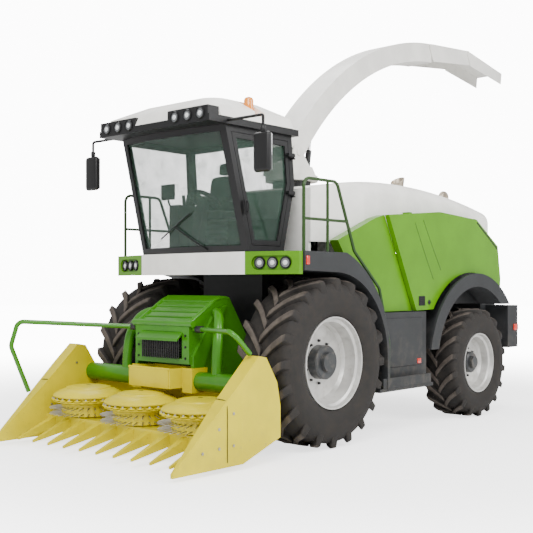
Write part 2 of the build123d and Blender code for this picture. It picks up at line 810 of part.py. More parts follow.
def hood_volume(inset, floor):
    """The hood's volume drawn in by inset, cut level at floor."""
    front = hood_front_y + inset
    rear = hood_rear_y - inset
    with BuildPart() as made:
        with BuildSketch(side_plane(-hood_half + inset)) as drawn:
            with BuildLine():
                Polyline((rear, hood_line[-1][1] - inset), (rear, floor), (front, floor),
                         (front, hood_line[0][1] - inset))
                Spline((front, hood_line[0][1] - inset), *[(y, z - inset) for y, z in hood_line[1:-1]],
                       (rear, hood_line[-1][1] - inset))
            make_face()
        extrude(drawn.sketch, amount=2 * (hood_half - inset))
        top_edges = made.edges().filter_by(GeomType.BSPLINE)
        fillet(top_edges, 180 - inset)
        with BuildSketch(Plane.XY.offset(floor)) as plan:
            with BuildLine():
                Polyline(
                    (-930 + inset, front), (930 - inset, front),
                    (hood_half - inset, front_axle_y + 1000), (hood_half - inset, rear),
                    (-hood_half + inset, rear), (-hood_half + inset, front_axle_y + 1000), close=True,
                )
            make_face()
        extrude(plan.sketch, amount=1500, mode=Mode.INTERSECT)
    return made.part


lid_axis_x = hood_half + 22
lid_axis_z = 2640
lid_pin_r = 10
lid_pin_ys = (front_axle_y + 1800, front_axle_y + 3400)
with BuildPart() as hood:
    add(hood_volume(0, hood_floor_z))
    block(-900, 900, hood_front_y, hood_front_y + hood_wall, deck_z, hood_floor_z + 50)
    add(hood_volume(hood_wall, hood_floor_z - 10), mode=Mode.SUBTRACT)
    post(0, tower_y, tower_r + 15, 2600, 3200, Mode.SUBTRACT)
    for y in lid_pin_ys:
        for side in (1, -1):
            x0, x1 = sorted((side * (hood_half - 10), side * (lid_axis_x + 14)))
            block(x0, x1, y - 60, y - 40, lid_axis_z - 14, lid_axis_z + 14)
            with BuildSketch(front_plane(y + 40)):
                with Locations((side * lid_axis_x, lid_axis_z)):
                    Circle(lid_pin_r)
            extrude(amount=90)
save(hood, "hood")

# Fixed green side panels ahead of the lids
seam_top_y = front_axle_y + 1250
seam_low_y = front_axle_y + 1850
panel_low_z = 1440
panel_front = [
    (front_axle_y + 330, 2260),
    (front_axle_y + 1060, 2545),
    (seam_top_y - 8, 2590),
    (seam_low_y - 8, panel_low_z),
    (front_axle_y + 1150, panel_low_z),
    (front_axle_y + 480, 2060),
]
with BuildPart() as panels:
    twin_slab(panel_front, hood_half, panel_x - 60)
save(panels, "side_panels")

# Hinged green lids beside the engine
lid_outline = [
    (seam_top_y, 2590),
    (front_axle_y + 2400, 2690),
    (front_axle_y + 3350, 2640),
    (front_axle_y + 3950, 2300),
    (front_axle_y + 4030, 1850),
    (front_axle_y + 4000, 1500),
    (seam_low_y, panel_low_z),
]
arch_clear = arch_r + arch_face + 12
for side, word in ((1, "left"), (-1, "right")):
    with BuildPart() as lid:
        x0, x1 = sorted((side * (panel_x - 60), side * panel_x))
        side_slab(lid_outline, x0, x1)
        cross_bar(rear_axle_y, rear_tyre_r, arch_clear, x0, x1, Mode.SUBTRACT)
        for y in lid_pin_ys:
            x0, x1 = sorted((side * (lid_axis_x - 14), side * (panel_x - 55)))
            block(x0, x1, y - 32, y + 32, lid_axis_z - 14, lid_axis_z + 14)
            with BuildSketch(front_plane(y + 60)):
                with Locations((side * lid_axis_x, lid_axis_z)):
                    Circle(lid_pin_r + running)
            extrude(amount=120, mode=Mode.SUBTRACT)
    save(lid, f"side_lid_{word}")

# Rear grille: a frame of upright louvres between bumper and hood
bumper_z = 870
bumper_top = 1470
bumper_y = rail_rear_y
grille_y = hood_rear_y
grille_half = 1000
beam_top = 1220
with BuildPart() as grille:
    block(-grille_half, grille_half, grille_y, grille_y + 50, 1480, 2700)
    block(-grille_half + 60, grille_half - 60, grille_y, grille_y + 50, 1560, 2620, Mode.SUBTRACT)
    for step in range(12):
        z = 1600 + step * 85
        block(-grille_half + 50, grille_half - 50, grille_y + 8, grille_y + 36, z, z + 45)
save(grille, "rear_grille")

# Rear bumper with its side blocks and the tow clevis
clevis_r = 20
clevis_y = bumper_y + 330
with BuildPart() as bumper:
    block(-950, 950, bumper_y, bumper_y + 230, bumper_z, beam_top)
    block(-grille_half, grille_half, grille_y, bumper_y + 230, beam_top, 1480)
    twin_block(950, 1350, bumper_y - 50, bumper_y + 250, bumper_z, bumper_top)
    for z in (bumper_z + 60, bumper_z + 160):
        block(-70, 70, bumper_y + 220, clevis_y + 60, z, z + 40)
    post(0, clevis_y, clevis_r, bumper_z, bumper_z + 300, Mode.SUBTRACT)
save(bumper, "rear_bumper")

# Amber beacon and red tail lamps
with BuildPart() as markers:
    post(beacon_x, beacon_y, 55, beacon_z, beacon_z + 140)
    twin_block(1180, 1320, bumper_y + 250, bumper_y + 265, 1150, 1230)
save(markers, "marker_lamps")

# Exhaust horn and the hooked breather pipe on the hood
horn_x = 400
horn_y = front_axle_y + 2780
pipe_x = 500
pipe_y = front_axle_y + 3900
with BuildPart() as exhaust:
    with BuildSketch(Plane(origin=(horn_x, horn_y, 2900), x_dir=(1, 0, 0), z_dir=(0, -1, 0))):
        with BuildLine():
            Polyline((0, 0), (75, 0), (75, 120), (105, 380), (95, 380), (65, 130), (0, 130), close=True)
        make_face()
    revolve(axis=Axis((horn_x, horn_y, 0), (0, 0, 1)))
    side_slab([(horn_y - 200, 3300), (horn_y - 200, 3080), (horn_y + 200, 3300)], horn_x - 200, horn_x + 200, Mode.SUBTRACT)
    add(hood_volume(0, hood_floor_z), mode=Mode.SUBTRACT)
    tube([(pipe_x, pipe_y, 2780), (pipe_x, pipe_y, 3080), (pipe_x, pipe_y - 140, 3080), (pipe_x, pipe_y - 140, 2970)], 38, 60)
    add(hood_volume(0, hood_floor_z), mode=Mode.SUBTRACT)
save(exhaust, "exhaust")

# Spout turret on the tower: ring, chute and cheeks that carry the arm
pivot = arc_point(spout_mid_r, spout_base_angle)
turret_z = tower_top + running
ring_top = turret_z + 70
trunnion_r = 45
cheek_x = spout_width / 2 + side_gap + 8
cheek = 25
lift_foot = (tower_y + 290, ring_top + 40)
lift_pin_r = 16
with BuildPart() as turret:
    post(0, tower_y, 330, turret_z, ring_top)
    side_slab(
        [
            (tower_y - 240, ring_top), (tower_y + 200, ring_top),
            (tower_y + 120, ring_top + 110), (tower_y - 290, ring_top + 150),
        ],
        -cheek_x - cheek, cheek_x + cheek,
    )
    side_slab(
        [
            (tower_y - 200, ring_top - 1), (tower_y + 170, ring_top - 1),
            (tower_y + 90, ring_top + 151), (tower_y - 260, ring_top + 151),
        ],
        -cheek_x + 10, cheek_x - 10, Mode.SUBTRACT,
    )
    post(0, tower_y, tower_r - 40, turret_z, ring_top, Mode.SUBTRACT)
    twin_slab(
        [
            (tower_y - 270, ring_top), (tower_y + 160, ring_top), (pivot[0] + 100, pivot[1] - 30),
            (pivot[0] + 60, pivot[1] + 70), (pivot[0] - 60, pivot[1] + 70), (pivot[0] - 100, pivot[1]),
        ],
        cheek_x, cheek_x + cheek,
    )
    cross_bar(pivot[0], pivot[1], trunnion_r + running, -cheek_x - 100, cheek_x + 100, Mode.SUBTRACT)
    for x in (-55, 35):
        side_slab(
            [
                (tower_y + 200, ring_top), (tower_y + 325, ring_top),
                (tower_y + 325, lift_foot[1] + 30), (tower_y + 255, lift_foot[1] + 30),
            ],
            x, x + 20,
        )
    cross_bar(lift_foot[0], lift_foot[1], lift_pin_r, -55, 55)
save(turret, "spout_turret")

# Spout arm: a curved duct with trunnions, the lift lugs and the flap pins
lift_lug_angle = 137
lift_eye = arc_point(spout_inner_r - 70, lift_lug_angle)
flap_pin = arc_point(flap_hinge_r, flap_hinge_angle)
flap_side_x = spout_width / 2 + side_gap
flap_wall = 8
duct_half = spout_width / 2
with BuildPart() as arm:
    for inset, mode in ((0, Mode.ADD), (spout_wall, Mode.SUBTRACT)):
        grow = 1 if inset else 0
        first = spout_base_angle + grow
        last = spout_end_angle - grow
        middle = (first + last) / 2
        outer = spout_outer_r - inset
        inner = spout_inner_r + inset
        with BuildSketch(side_plane(-duct_half + inset)) as duct:
            with BuildLine():
                ThreePointArc(arc_point(outer, first), arc_point(outer, middle), arc_point(outer, last))
                Line(arc_point(outer, last), arc_point(inner, last))
                ThreePointArc(arc_point(inner, last), arc_point(inner, middle), arc_point(inner, first))
                Line(arc_point(inner, first), arc_point(outer, first))
            make_face()
        extrude(amount=spout_width - 2 * inset, mode=mode)
    for x0, x1 in ((duct_half - 2, cheek_x + cheek + 15), (-cheek_x - cheek - 15, -duct_half + 2)):
        cross_bar(pivot[0], pivot[1], trunnion_r, x0, x1)
    for x0, x1 in ((duct_half - 5, flap_side_x + flap_wall + 6), (-flap_side_x - flap_wall - 6, -duct_half + 5)):
        cross_bar(flap_pin[0], flap_pin[1], 12, x0, x1)
    for x in (-55, 35):
        side_slab(
            [
                arc_point(spout_inner_r + 5, lift_lug_angle + 1.5), arc_point(spout_inner_r - 100, lift_lug_angle + 0.4),
                arc_point(spout_inner_r - 100, lift_lug_angle - 0.4), arc_point(spout_inner_r + 5, lift_lug_angle - 1.5),
            ],
            x, x + 20,
        )
    cross_bar(lift_eye[0], lift_eye[1], lift_pin_r + 6, 55, 65)
    cross_bar(lift_eye[0], lift_eye[1], lift_pin_r + 6, -65, -55)
save(arm, "spout_arm")

# Flaps: two channels open below, hinged one behind the other


def along(point, slope, s, t):
    """(y, z) at distance s along a slope and t square to it."""
    c, d = cos(radians(slope)), sin(radians(slope))
    return (point[0] + s * c - t * d, point[1] + s * d + t * c)


def flap(name, hinge, slope, length, side_x, start, front_low, rear_low, next_side):
    """A channel with its top plate and two side plates, bored at its hinge."""
    with BuildPart() as made:
        shape = [
            along(hinge, slope, -25, 25), along(hinge, slope, -25, -25), along(hinge, slope, start, -front_low),
            along(hinge, slope, length, -rear_low), along(hinge, slope, length, 30), along(hinge, slope, start, 30),
        ]
        twin_slab(shape, side_x, side_x + flap_wall)
        top = [
            along(hinge, slope, start, 22), along(hinge, slope, length, 22),
            along(hinge, slope, length, 30), along(hinge, slope, start, 30),
        ]
        side_slab(top, -side_x - 1, side_x + 1)
        cross_bar(hinge[0], hinge[1], 12 + running, -side_x - 50, side_x + 50, Mode.SUBTRACT)
        if next_side:
            pin = along(hinge, slope, length - 45, -10)
            cross_bar(pin[0], pin[1], 12, side_x + 2, next_side + flap_wall + 6)
            cross_bar(pin[0], pin[1], 12, -next_side - flap_wall - 6, -side_x - 2)
    save(made, name)


tip_side_x = flap_side_x + flap_wall + side_gap
tip_pin = along(flap_pin, flap_slope, flap_length - 45, -10)
flap("spout_flap", flap_pin, flap_slope, flap_length, flap_side_x, 60, 225, 190, tip_side_x)
flap("spout_flap_tip", tip_pin, tip_slope, flap_tip_length + 45, tip_side_x, 80, 180, 150, 0)


# Cylinders: a bored barrel with an eye at its foot and a rod with an eye at its end


def cylinder_parts(x, foot, head, barrel_r, rod_r, barrel_length, rod_length, eye_r, pin, eye_width):
    """Barrel and rod between two eyes, given as (y, z) points."""
    length = hypot(head[0] - foot[0], head[1] - foot[1])
    way = (0, (head[0] - foot[0]) / length, (head[1] - foot[1]) / length)
    foot_plane = Plane(origin=(x, foot[0], foot[1]), x_dir=(1, 0, 0), z_dir=way)
    with BuildPart() as barrel:
        with BuildSketch(foot_plane.offset(eye_r + 25)):
            Circle(barrel_r)
        extrude(amount=barrel_length - eye_r - 25)
        with BuildSketch(foot_plane.offset(eye_r * 0.6)):
            Circle(eye_width * 0.48)
        extrude(amount=eye_r + 20)
        cross_bar(foot[0], foot[1], eye_r, x - eye_width / 2, x + eye_width / 2)
        with BuildSketch(foot_plane.offset(eye_r + 40)):
            Circle(rod_r + running)
        extrude(amount=barrel_length, mode=Mode.SUBTRACT)
        cross_bar(foot[0], foot[1], pin + running, x - eye_width, x + eye_width, Mode.SUBTRACT)
    with BuildPart() as rod:
        with BuildSketch(foot_plane.offset(length - rod_length)):
            Circle(rod_r)
        extrude(amount=rod_length - eye_r * 0.6)
        cross_bar(head[0], head[1], eye_r, x - eye_width / 2, x + eye_width / 2)
    return barrel.part, rod.part


lift_barrel, lift_rod = cylinder_parts(0, lift_foot, lift_eye, 38, 22, 330, 340, 34, lift_pin_r, 56)
with BuildPart() as spout_barrel:
    add(lift_barrel)
save(spout_barrel, "spout_lift_barrel")
with BuildPart() as spout_rod:
    add(lift_rod)
save(spout_rod, "spout_lift_rod")

# Header lift cylinders between the axle and the intake housing
header_foot = (front_axle_y - 170, 620)
header_head = (front_axle_y - 800, 560)
pairs = [cylinder_parts(x, header_foot, header_head, 45, 26, 480, 540, 34, 18, 56) for x in (300, -300)]
with BuildPart() as header_barrels:
    for pair in pairs:
        add(pair[0])
save(header_barrels, "header_lift_barrels")
with BuildPart() as header_rods:
    for pair in pairs:
        add(pair[1])
save(header_rods, "header_lift_rods")

# Intake housing with its arms to the pivot pins and the arms down to the header
intake_half = 430
intake_back_y = front_axle_y - 300
joint_y = front_axle_y - 960
tube_y = front_axle_y - 1065
tube_z = 740
tube_r = 100
clamp_top = 880
mouth_y = front_axle_y - 1180
roller = (front_axle_y - 1070, 1115)
roller_r = 115
with BuildPart() as intake:
    side_slab(
        [
            (intake_back_y, 720), (intake_back_y, 1200), (front_axle_y - 560, 1600), (front_axle_y - 700, 1640),
            (mouth_y, 1340), (mouth_y, 920), (joint_y, 920), (joint_y, 560), (front_axle_y - 700, 720),
        ],
        -intake_half, intake_half,
    )
    block(-320, 320, mouth_y - 10, front_axle_y - 900, 975, 1260, Mode.SUBTRACT)
    cross_bar(roller[0], roller[1], 30, -340, -274)
    cross_bar(roller[0], roller[1], 30, 274, 340)
    twin_slab(
        [
            (front_axle_y - 640, 1540), (front_axle_y - 800, 1500), (front_axle_y - 1150, 1000),
            (front_axle_y - 1150, clamp_top), (front_axle_y - 1000, clamp_top), (front_axle_y - 900, 1100),
        ],
        intake_half - 5, intake_half + 40,
    )
    arm_back = [
        (intake_back_y - 60, header_pivot_z - 120), (header_pivot_y, header_pivot_z - 70),
        (header_pivot_y + 65, header_pivot_z - 30), (header_pivot_y + 65, header_pivot_z + 30),
        (header_pivot_y, header_pivot_z + 70), (intake_back_y - 60, header_pivot_z + 120),
    ]
    twin_slab(arm_back, intake_half - 5, rail_inner - side_gap)
    cross_bar(header_pivot_y, header_pivot_z, header_pin_r + running, -rail_inner, rail_inner, Mode.SUBTRACT)
    for x in (300, -300):
        for offset in (-55, 33):
            block(x + offset, x + offset + 22, header_head[0] - 40, header_head[0] + 40, header_head[1] - 40, 730)
        cross_bar(header_head[0], header_head[1], 24, x + 55, x + 65)
        cross_bar(header_head[0], header_head[1], 24, x - 65, x - 55)
save(intake, "intake_housing")

# Feed roller in the intake mouth, with ribs along it
with BuildPart() as feed:
    cross_bar(roller[0], roller[1], roller_r - 25, -294, 294)
    for turn in range(12):
        angle = radians(turn * 30)
        rib = Plane(origin=(-294, roller[0], roller[1]), x_dir=(0, cos(angle), sin(angle)), z_dir=(1, 0, 0))
        with BuildSketch(rib):
            with Locations((roller_r - 20, 0)):
                Rectangle(40, 18)
        extrude(amount=588)
    cross_bar(roller[0], roller[1], 30 + running, -400, -270, Mode.SUBTRACT)
    cross_bar(roller[0], roller[1], 30 + running, 270, 400, Mode.SUBTRACT)
save(feed, "feed_roller")

# Header frame: gearbox pan, back wall, clamps round the tubes, trough and pointed fingers
pan_half = rotor_pitch + rotor_tooth_r + 13
pan_z = 150
pan_top = 300
pan_front_y = front_axle_y - 1720
back_front_y = joint_y - 50
trough_z = 670
finger_count = 10
finger_pitch = 270
finger_tip_y = front_axle_y - 2170
with BuildPart() as header:
    block(-pan_half, pan_half, pan_front_y, joint_y, pan_z, pan_top)
    block(-pan_half, pan_half, back_front_y, joint_y, pan_top, tube_z)
    block(-330, 330, back_front_y, joint_y, tube_z, clamp_top)
    block(-330, 330, front_axle_y - 1360, back_front_y, trough_z, trough_z + 30)
    twin_block(300, 330, front_axle_y - 1360, back_front_y, trough_z, clamp_top)
    twin_block(330, 480, tube_y - 120, joint_y, trough_z - 50, clamp_top)
    cross_bar(tube_y, tube_z, tube_r + running, -pan_half - 10, -329, Mode.SUBTRACT)
    cross_bar(tube_y, tube_z, tube_r + running, 329, pan_half + 10, Mode.SUBTRACT)
    for index in range(finger_count):
        x = (index - (finger_count - 1) / 2) * finger_pitch
        with BuildSketch(Plane(origin=(x, pan_front_y + 10, pan_z + 75), x_dir=(1, 0, 0), z_dir=(0, -1, 0))) as root:
            Rectangle(90, 120)
        with BuildSketch(Plane(origin=(x, finger_tip_y, 85), x_dir=(1, 0, 0), z_dir=(0, -1, 0))) as end:
            Rectangle(24, 24)
        loft([root.sketch, end.sketch])
    for x in (-rotor_pitch, 0, rotor_pitch):
        post(x, front_axle_y - rotor_ahead, 60, pan_top - 5, 420)
save(header, "header_frame")

# Green tubes across the header, and the guard bars bent out to the dividers
divider_inner = pan_half
divider_outer = divider_inner + divider_width
divider_x = divider_inner + divider_width / 2
ridge_y = front_axle_y - 1280
ridge_z = 1070
bar_r = 26
with BuildPart() as tubes:
    cross_bar(tube_y, tube_z, tube_r, 331, pan_half)
    cross_bar(tube_y, tube_z, tube_r, -pan_half, -331)
    tube(
        [
            (intake_half, front_axle_y - 1120, 1290), (intake_half + 120, front_axle_y - 1120, 1290),
            (divider_x, front_axle_y - 1560, 1310),
            (divider_x, ridge_y - 40, ridge_z + 20),
        ],
        bar_r, 80,
    )
    tube(
        [
            (-intake_half, front_axle_y - 1120, 1290), (-intake_half - 120, front_axle_y - 1120, 1290),
            (-divider_x, front_axle_y - 2040, 1350),
            (-divider_x, front_axle_y - 2130, 1080), (-divider_x, front_axle_y - 1900, 560),
        ],
        bar_r, 80,
    )
save(tubes, "header_tubes")

# Crop dividers at both ends
divider_side = [
    (front_axle_y - nose_ahead, 40), (front_axle_y - nose_ahead, 80), (ridge_y, ridge_z),
    (ridge_y + 110, ridge_z - 20), (front_axle_y - 1010, 800), (front_axle_y - 960, 560),
    (front_axle_y - 960, 250), (front_axle_y - 1500, 60),
]
divider_plan = [
    (divider_inner, front_axle_y - 900), (divider_outer, front_axle_y - 900), (divider_outer, front_axle_y - 1500),
    (divider_x + 15, front_axle_y - nose_ahead), (divider_x - 15, front_axle_y - nose_ahead),
    (divider_inner, front_axle_y - 1750),
]
with BuildPart() as dividers:
    for side in (1, -1):
        with BuildSketch(Plane.XY):
            with BuildLine():
                Polyline(*[(side * x, y) for x, y in divider_plan], close=True)
            make_face()
        extrude(amount=1500)
    side_slab(divider_side, -2000, 2000, Mode.INTERSECT)
save(dividers, "dividers")

# Rotors: stepped covers over two toothed rims
rotor_z = pan_top + 10
rotor_teeth = 16
for index, word in ((-1, "right"), (0, "middle"), (1, "left")):
    x = index * rotor_pitch
    y = front_axle_y - rotor_ahead
    with BuildPart() as rotor:
        with BuildSketch(Plane(origin=(x, y, 0), x_dir=(1, 0, 0), z_dir=(0, -1, 0))):
            with BuildLine():
                Polyline(
                    (0, 640), (190, 640), (235, 615), (240, 585), (330, 560), (rotor_r, 520), (rotor_r, 480),
                    (rotor_r - 40, 480), (rotor_r - 40, rotor_z), (0, rotor_z), close=True,
                )
            make_face()
        revolve(axis=Axis((x, y, 0), (0, 0, 1)))
        for z in (360, 440):
            with BuildSketch(Plane.XY.offset(z)):
                with Locations((x, y)):
                    Circle(rotor_tooth_r - 45)
                    with PolarLocations(rotor_tooth_r - 40, rotor_teeth):
                        Rectangle(75, 70)
            extrude(amount=12)
        post(x, y, 60 + running, rotor_z, 425, Mode.SUBTRACT)
    save(rotor, f"rotor_{word}")
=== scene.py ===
"""Studio scene of a forage harvester: finishes for its solids and the finer pieces that they carry."""

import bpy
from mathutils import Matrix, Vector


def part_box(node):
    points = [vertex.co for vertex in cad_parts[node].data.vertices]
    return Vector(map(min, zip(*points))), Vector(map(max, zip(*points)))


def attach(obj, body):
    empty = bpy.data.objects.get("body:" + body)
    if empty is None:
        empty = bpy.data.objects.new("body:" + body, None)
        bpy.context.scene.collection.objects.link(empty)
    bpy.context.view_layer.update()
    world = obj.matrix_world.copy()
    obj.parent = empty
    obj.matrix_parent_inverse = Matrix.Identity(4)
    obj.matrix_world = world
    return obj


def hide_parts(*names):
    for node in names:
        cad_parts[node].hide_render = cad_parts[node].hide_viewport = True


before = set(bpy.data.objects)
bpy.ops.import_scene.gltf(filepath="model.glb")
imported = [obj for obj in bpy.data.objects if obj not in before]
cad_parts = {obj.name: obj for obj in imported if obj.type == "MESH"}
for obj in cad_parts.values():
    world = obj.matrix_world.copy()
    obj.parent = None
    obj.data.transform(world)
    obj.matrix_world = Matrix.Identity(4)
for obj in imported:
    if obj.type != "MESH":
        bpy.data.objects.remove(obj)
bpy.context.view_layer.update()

import math

import bpy
from bpy.props import FloatProperty, FloatVectorProperty, IntProperty, PointerProperty
from mathutils import Vector

bl_info = {
    "name": "Forage harvester studio",
    "version": (1, 0, 0),
    "blender": (4, 5, 0),
    "location": "3D View > Sidebar > Harvester",
    "description": "Finishes the solids of a forage harvester and adds the pieces that they carry",
    "category": "Object",
}

SIDES = (("left", 1), ("right", -1))
PAINT_DUST = (0.19, 0.155, 0.105)
PLASTIC_DUST = (0.17, 0.14, 0.10)
RIM_DUST = (0.20, 0.17, 0.13)
ROUNDED_ABOVE = math.radians(30)
BOLT_SUNK = 0.004


# Shader values and finishes


class Value:
    """One shader value that can stand in a sum; every operation adds its Math node."""

    def __init__(self, finish, socket):
        self.finish = finish
        self.socket = socket

    def sum(self, operation, first, second):
        return self.finish.node("ShaderNodeMath", {"operation": operation}, {0: first, 1: second})

    def __add__(self, other):
        return self.sum("ADD", self, other)

    __radd__ = __add__

    def __rsub__(self, other):
        return self.sum("SUBTRACT", other, self)

    def __mul__(self, other):
        return self.sum("MULTIPLY", self, other)

    __rmul__ = __mul__

    def __pow__(self, other):
        return self.sum("POWER", self, other)

    def __gt__(self, other):
        return self.sum("GREATER_THAN", self, other)


class Finish:
    """A material in the making, with its main shader and the ways to feed it."""

    def __init__(self, name, **fixed):
        self.material = bpy.data.materials.new(name)
        self.material.use_nodes = True
        self.tree = self.material.node_tree
        self.tree.nodes.clear()
        self.output = self.tree.nodes.new("ShaderNodeOutputMaterial")
        self.shader = self.tree.nodes.new("ShaderNodeBsdfPrincipled")
        self.tree.links.new(self.shader.outputs[0], self.output.inputs[0])
        for word, value in fixed.items():
            socket = word.replace("_", " ").title().replace("Ior", "IOR")
            self.shader.inputs[socket].default_value = value

    def node(self, kind, settings=None, sockets=None, out=0):
        made = self.tree.nodes.new(kind)
        for word, value in (settings or {}).items():
            setattr(made, word, value)
        for word, value in (sockets or {}).items():
            self.feed(made.inputs[word], value)
        return Value(self, made.outputs[out])

    def feed(self, socket, value):
        if isinstance(value, Value):
            self.tree.links.new(value.socket, socket)
        else:
            socket.default_value = value

    def set(self, **sockets):
        for word, value in sockets.items():
            self.feed(self.shader.inputs[word.replace("_", " ").title()], value)
        return self

    def place(self):
        return self.node("ShaderNodeTexCoord", out="Object")

    def level(self, axis, centre=(0, 0, 0)):
        sockets = {"Vector": self.place(), "Location": [-c for c in centre]}
        parts = self.node("ShaderNodeMapping", None, sockets)
        return self.node("ShaderNodeSeparateXYZ", None, {0: parts}, out=axis)

    def reach(self, axes, centre=(0, 0, 0)):
        """Distance from the centre, measured along two axes."""
        first, second = (self.level(axis, centre) for axis in axes)
        return (first * first + second * second) ** 0.5

    def noise(self, scale, detail=3.0, stretch=(1, 1, 1)):
        laid = self.node("ShaderNodeMapping", None, {"Vector": self.place(), "Scale": stretch})
        sockets = {"Vector": laid, "Scale": scale, "Detail": detail, "Roughness": 0.6}
        return self.node("ShaderNodeTexNoise", None, sockets)

    def fade(self, value, low, high):
        sockets = {"Value": value, "From Min": low, "From Max": high}
        return self.node("ShaderNodeMapRange", {"interpolation_type": "SMOOTHSTEP"}, sockets)

    def mix(self, share, first, second):
        sockets = {0: share, 6: colour4(first), 7: colour4(second)}
        return self.node("ShaderNodeMix", {"data_type": "RGBA"}, sockets, out=2)

    def toned(self, share, colour, dark, light):
        """A colour that runs between two shades of itself."""
        return self.mix(share, shaded(colour, dark), shaded(colour, light))

    def relief(self, height, strength, depth):
        sockets = {"Height": height, "Strength": strength, "Distance": depth}
        self.set(normal=self.node("ShaderNodeBump", None, sockets))
        return self


def colour4(colour):
    """A colour socket's value: a link as it is, three numbers with a full alpha."""
    return colour if isinstance(colour, Value) else (*tuple(colour)[:3], 1.0)


def shaded(colour, factor):
    return tuple(channel * factor for channel in tuple(colour)[:3])


def painted(name, colour, rough, coat, dust, dust_top=1.3):
    """Sprayed paint: slow shifts of tone, fine peel, and dust and specks towards the ground."""
    finish = Finish(name, coat_roughness=0.12, specular_ior_level=0.3)
    cloudy = finish.noise(2.2, 4)
    fine = finish.noise(60, 3)
    tone = finish.toned(finish.fade(cloudy, 0.3, 0.7), colour, 0.90, 1.06)
    low = finish.fade(finish.level(2), dust_top, 0.05)
    dirt = finish.fade(finish.noise(7, 6), 0.42, 0.72) * (low * dust)
    speck = finish.fade(finish.noise(34, 2), 0.66, 0.74) * (low * 0.5)
    finish.set(base_color=finish.mix(dirt + speck, tone, PAINT_DUST))
    finish.set(roughness=rough + 0.10 * fine + 0.35 * dirt, coat_weight=coat - coat * dirt)
    return finish.relief(finish.noise(900, 1), 0.05, 0.0004).material


def moulded(name, colour, rough, dust):
    """Moulded plastic with a fine pebble and rubbed, dusty places."""
    finish = Finish(name, specular_ior_level=0.4)
    cloudy = finish.noise(3.5, 5)
    tone = finish.toned(finish.fade(cloudy, 0.3, 0.7), colour, 0.85, 1.15)
    low = finish.fade(finish.level(2), 1.6, 0.1)
    dirt = finish.fade(finish.noise(9, 6), 0.4, 0.75) * (low * dust)
    finish.set(base_color=finish.mix(dirt, tone, PLASTIC_DUST), roughness=rough + 0.15 * cloudy)
    return finish.relief(finish.noise(420, 2), 0.18, 0.0006).material


def bare_metal(name, colour, rough):
    """Bare metal with drawn streaks and dull patches."""
    finish = Finish(name, metallic=1.0)
    drawn = finish.noise(40, 3, (1, 1, 30))
    patches = finish.fade(finish.noise(6, 5), 0.35, 0.7)
    tone = finish.toned(patches, colour, 0.75, 1.05)
    finish.set(base_color=tone, roughness=rough + 0.2 * drawn)
    return finish.relief(drawn, 0.08, 0.0005).material


def rubber(name, centre, tread_from, tread_to):
    """Tyre rubber: dark carcass, dusty worn lug tops by their distance from the axle."""
    finish = Finish(name, specular_ior_level=0.3)
    worn = finish.fade(finish.reach((1, 2), centre), tread_from, tread_to)
    patchy = finish.fade(finish.noise(11, 6), 0.3, 0.75)
    sidewall = finish.mix(patchy, (0.012, 0.0105, 0.0095), (0.030, 0.0255, 0.022))
    lug = finish.mix(patchy, (0.060, 0.049, 0.041), (0.110, 0.091, 0.076))
    finish.set(base_color=finish.mix(worn, sidewall, lug), roughness=0.62 + 0.25 * patchy)
    return finish.relief(finish.noise(260, 4), 0.25, 0.0012).material


def wheel_paint(name, centre, hub_radius, silver, hub):
    """Silver rim paint, the hub dark by its distance from the axle."""
    finish = Finish(name, coat_weight=0.15, coat_roughness=0.2)
    outside = finish.reach((1, 2), centre) > hub_radius
    cloudy = finish.noise(5, 5)
    patches = finish.fade(cloudy, 0.3, 0.7)
    bright = finish.toned(patches, silver, 0.86, 1.05)
    dark = finish.toned(patches, hub, 0.8, 1.3)
    dirt = finish.fade(finish.noise(13, 6), 0.45, 0.8) * 0.35
    whole = finish.mix(dirt, finish.mix(outside, dark, bright), RIM_DUST)
    finish.set(base_color=whole, metallic=0.55 * outside, roughness=0.30 + 0.22 * cloudy)
    return finish.relief(finish.noise(500, 1), 0.06, 0.0004).material


def tinted_pane(name, colour, clear):
    """Tinted glass, dusty in patches and less clear at a slant."""
    finish = Finish(name, roughness=0.03, ior=1.5, specular_ior_level=0.6)
    dusty = finish.fade(finish.noise(5, 6), 0.45, 0.8)
    edge = finish.node("ShaderNodeLayerWeight", None, {"Blend": 0.25}, out="Facing")
    finish.set(base_color=finish.toned(dusty, colour, 0.9, 1.2))
    finish.set(alpha=clear + 0.10 * dusty + 0.35 * edge, roughness=0.03 + 0.10 * dusty)
    return finish.material


def lens(name, colour, glow=0.0):
    """Clear moulded lamp lens with fine ribs."""
    finish = Finish(name, coat_weight=0.6, coat_roughness=0.04, ior=1.5)
    ribs = finish.noise(160, 1, (1, 1, 3))
    tone = finish.toned(finish.fade(ribs, 0.35, 0.65), colour, 0.75, 1.1)
    finish.set(base_color=tone, roughness=0.12 + 0.12 * ribs)
    if glow:
        finish.shader.inputs["Emission Color"].default_value = colour4(colour)
        finish.shader.inputs["Emission Strength"].default_value = glow
    return finish.relief(ribs, 0.25, 0.001).material


def seat_cloth(name, colour):
    """Woven seat cloth: two crossed thread waves with a soft sheen."""
    finish = Finish(name, sheen_weight=0.3, specular_ior_level=0.2)
    threads = []
    for way in "XY":
        settings = {"wave_type": "BANDS", "bands_direction": way}
        sockets = {"Vector": finish.place(), "Scale": 190.0, "Distortion": 0.6}
        threads.append(finish.node("ShaderNodeTexWave", settings, sockets))
    weave = threads[0] * threads[1]
    worn = finish.fade(finish.noise(9, 4), 0.3, 0.75)
    tone = finish.toned(weave * 0.6 + worn * 0.3, colour, 0.6, 1.5)
    finish.set(base_color=tone, roughness=0.8 + 0.12 * worn)
    return finish.relief(weave, 0.35, 0.0015).material


# Modelling, as by hand


def clear_selection():
    if bpy.context.object and bpy.context.object.mode != "OBJECT":
        bpy.ops.object.mode_set(mode="OBJECT")
    bpy.ops.object.select_all(action="DESELECT")


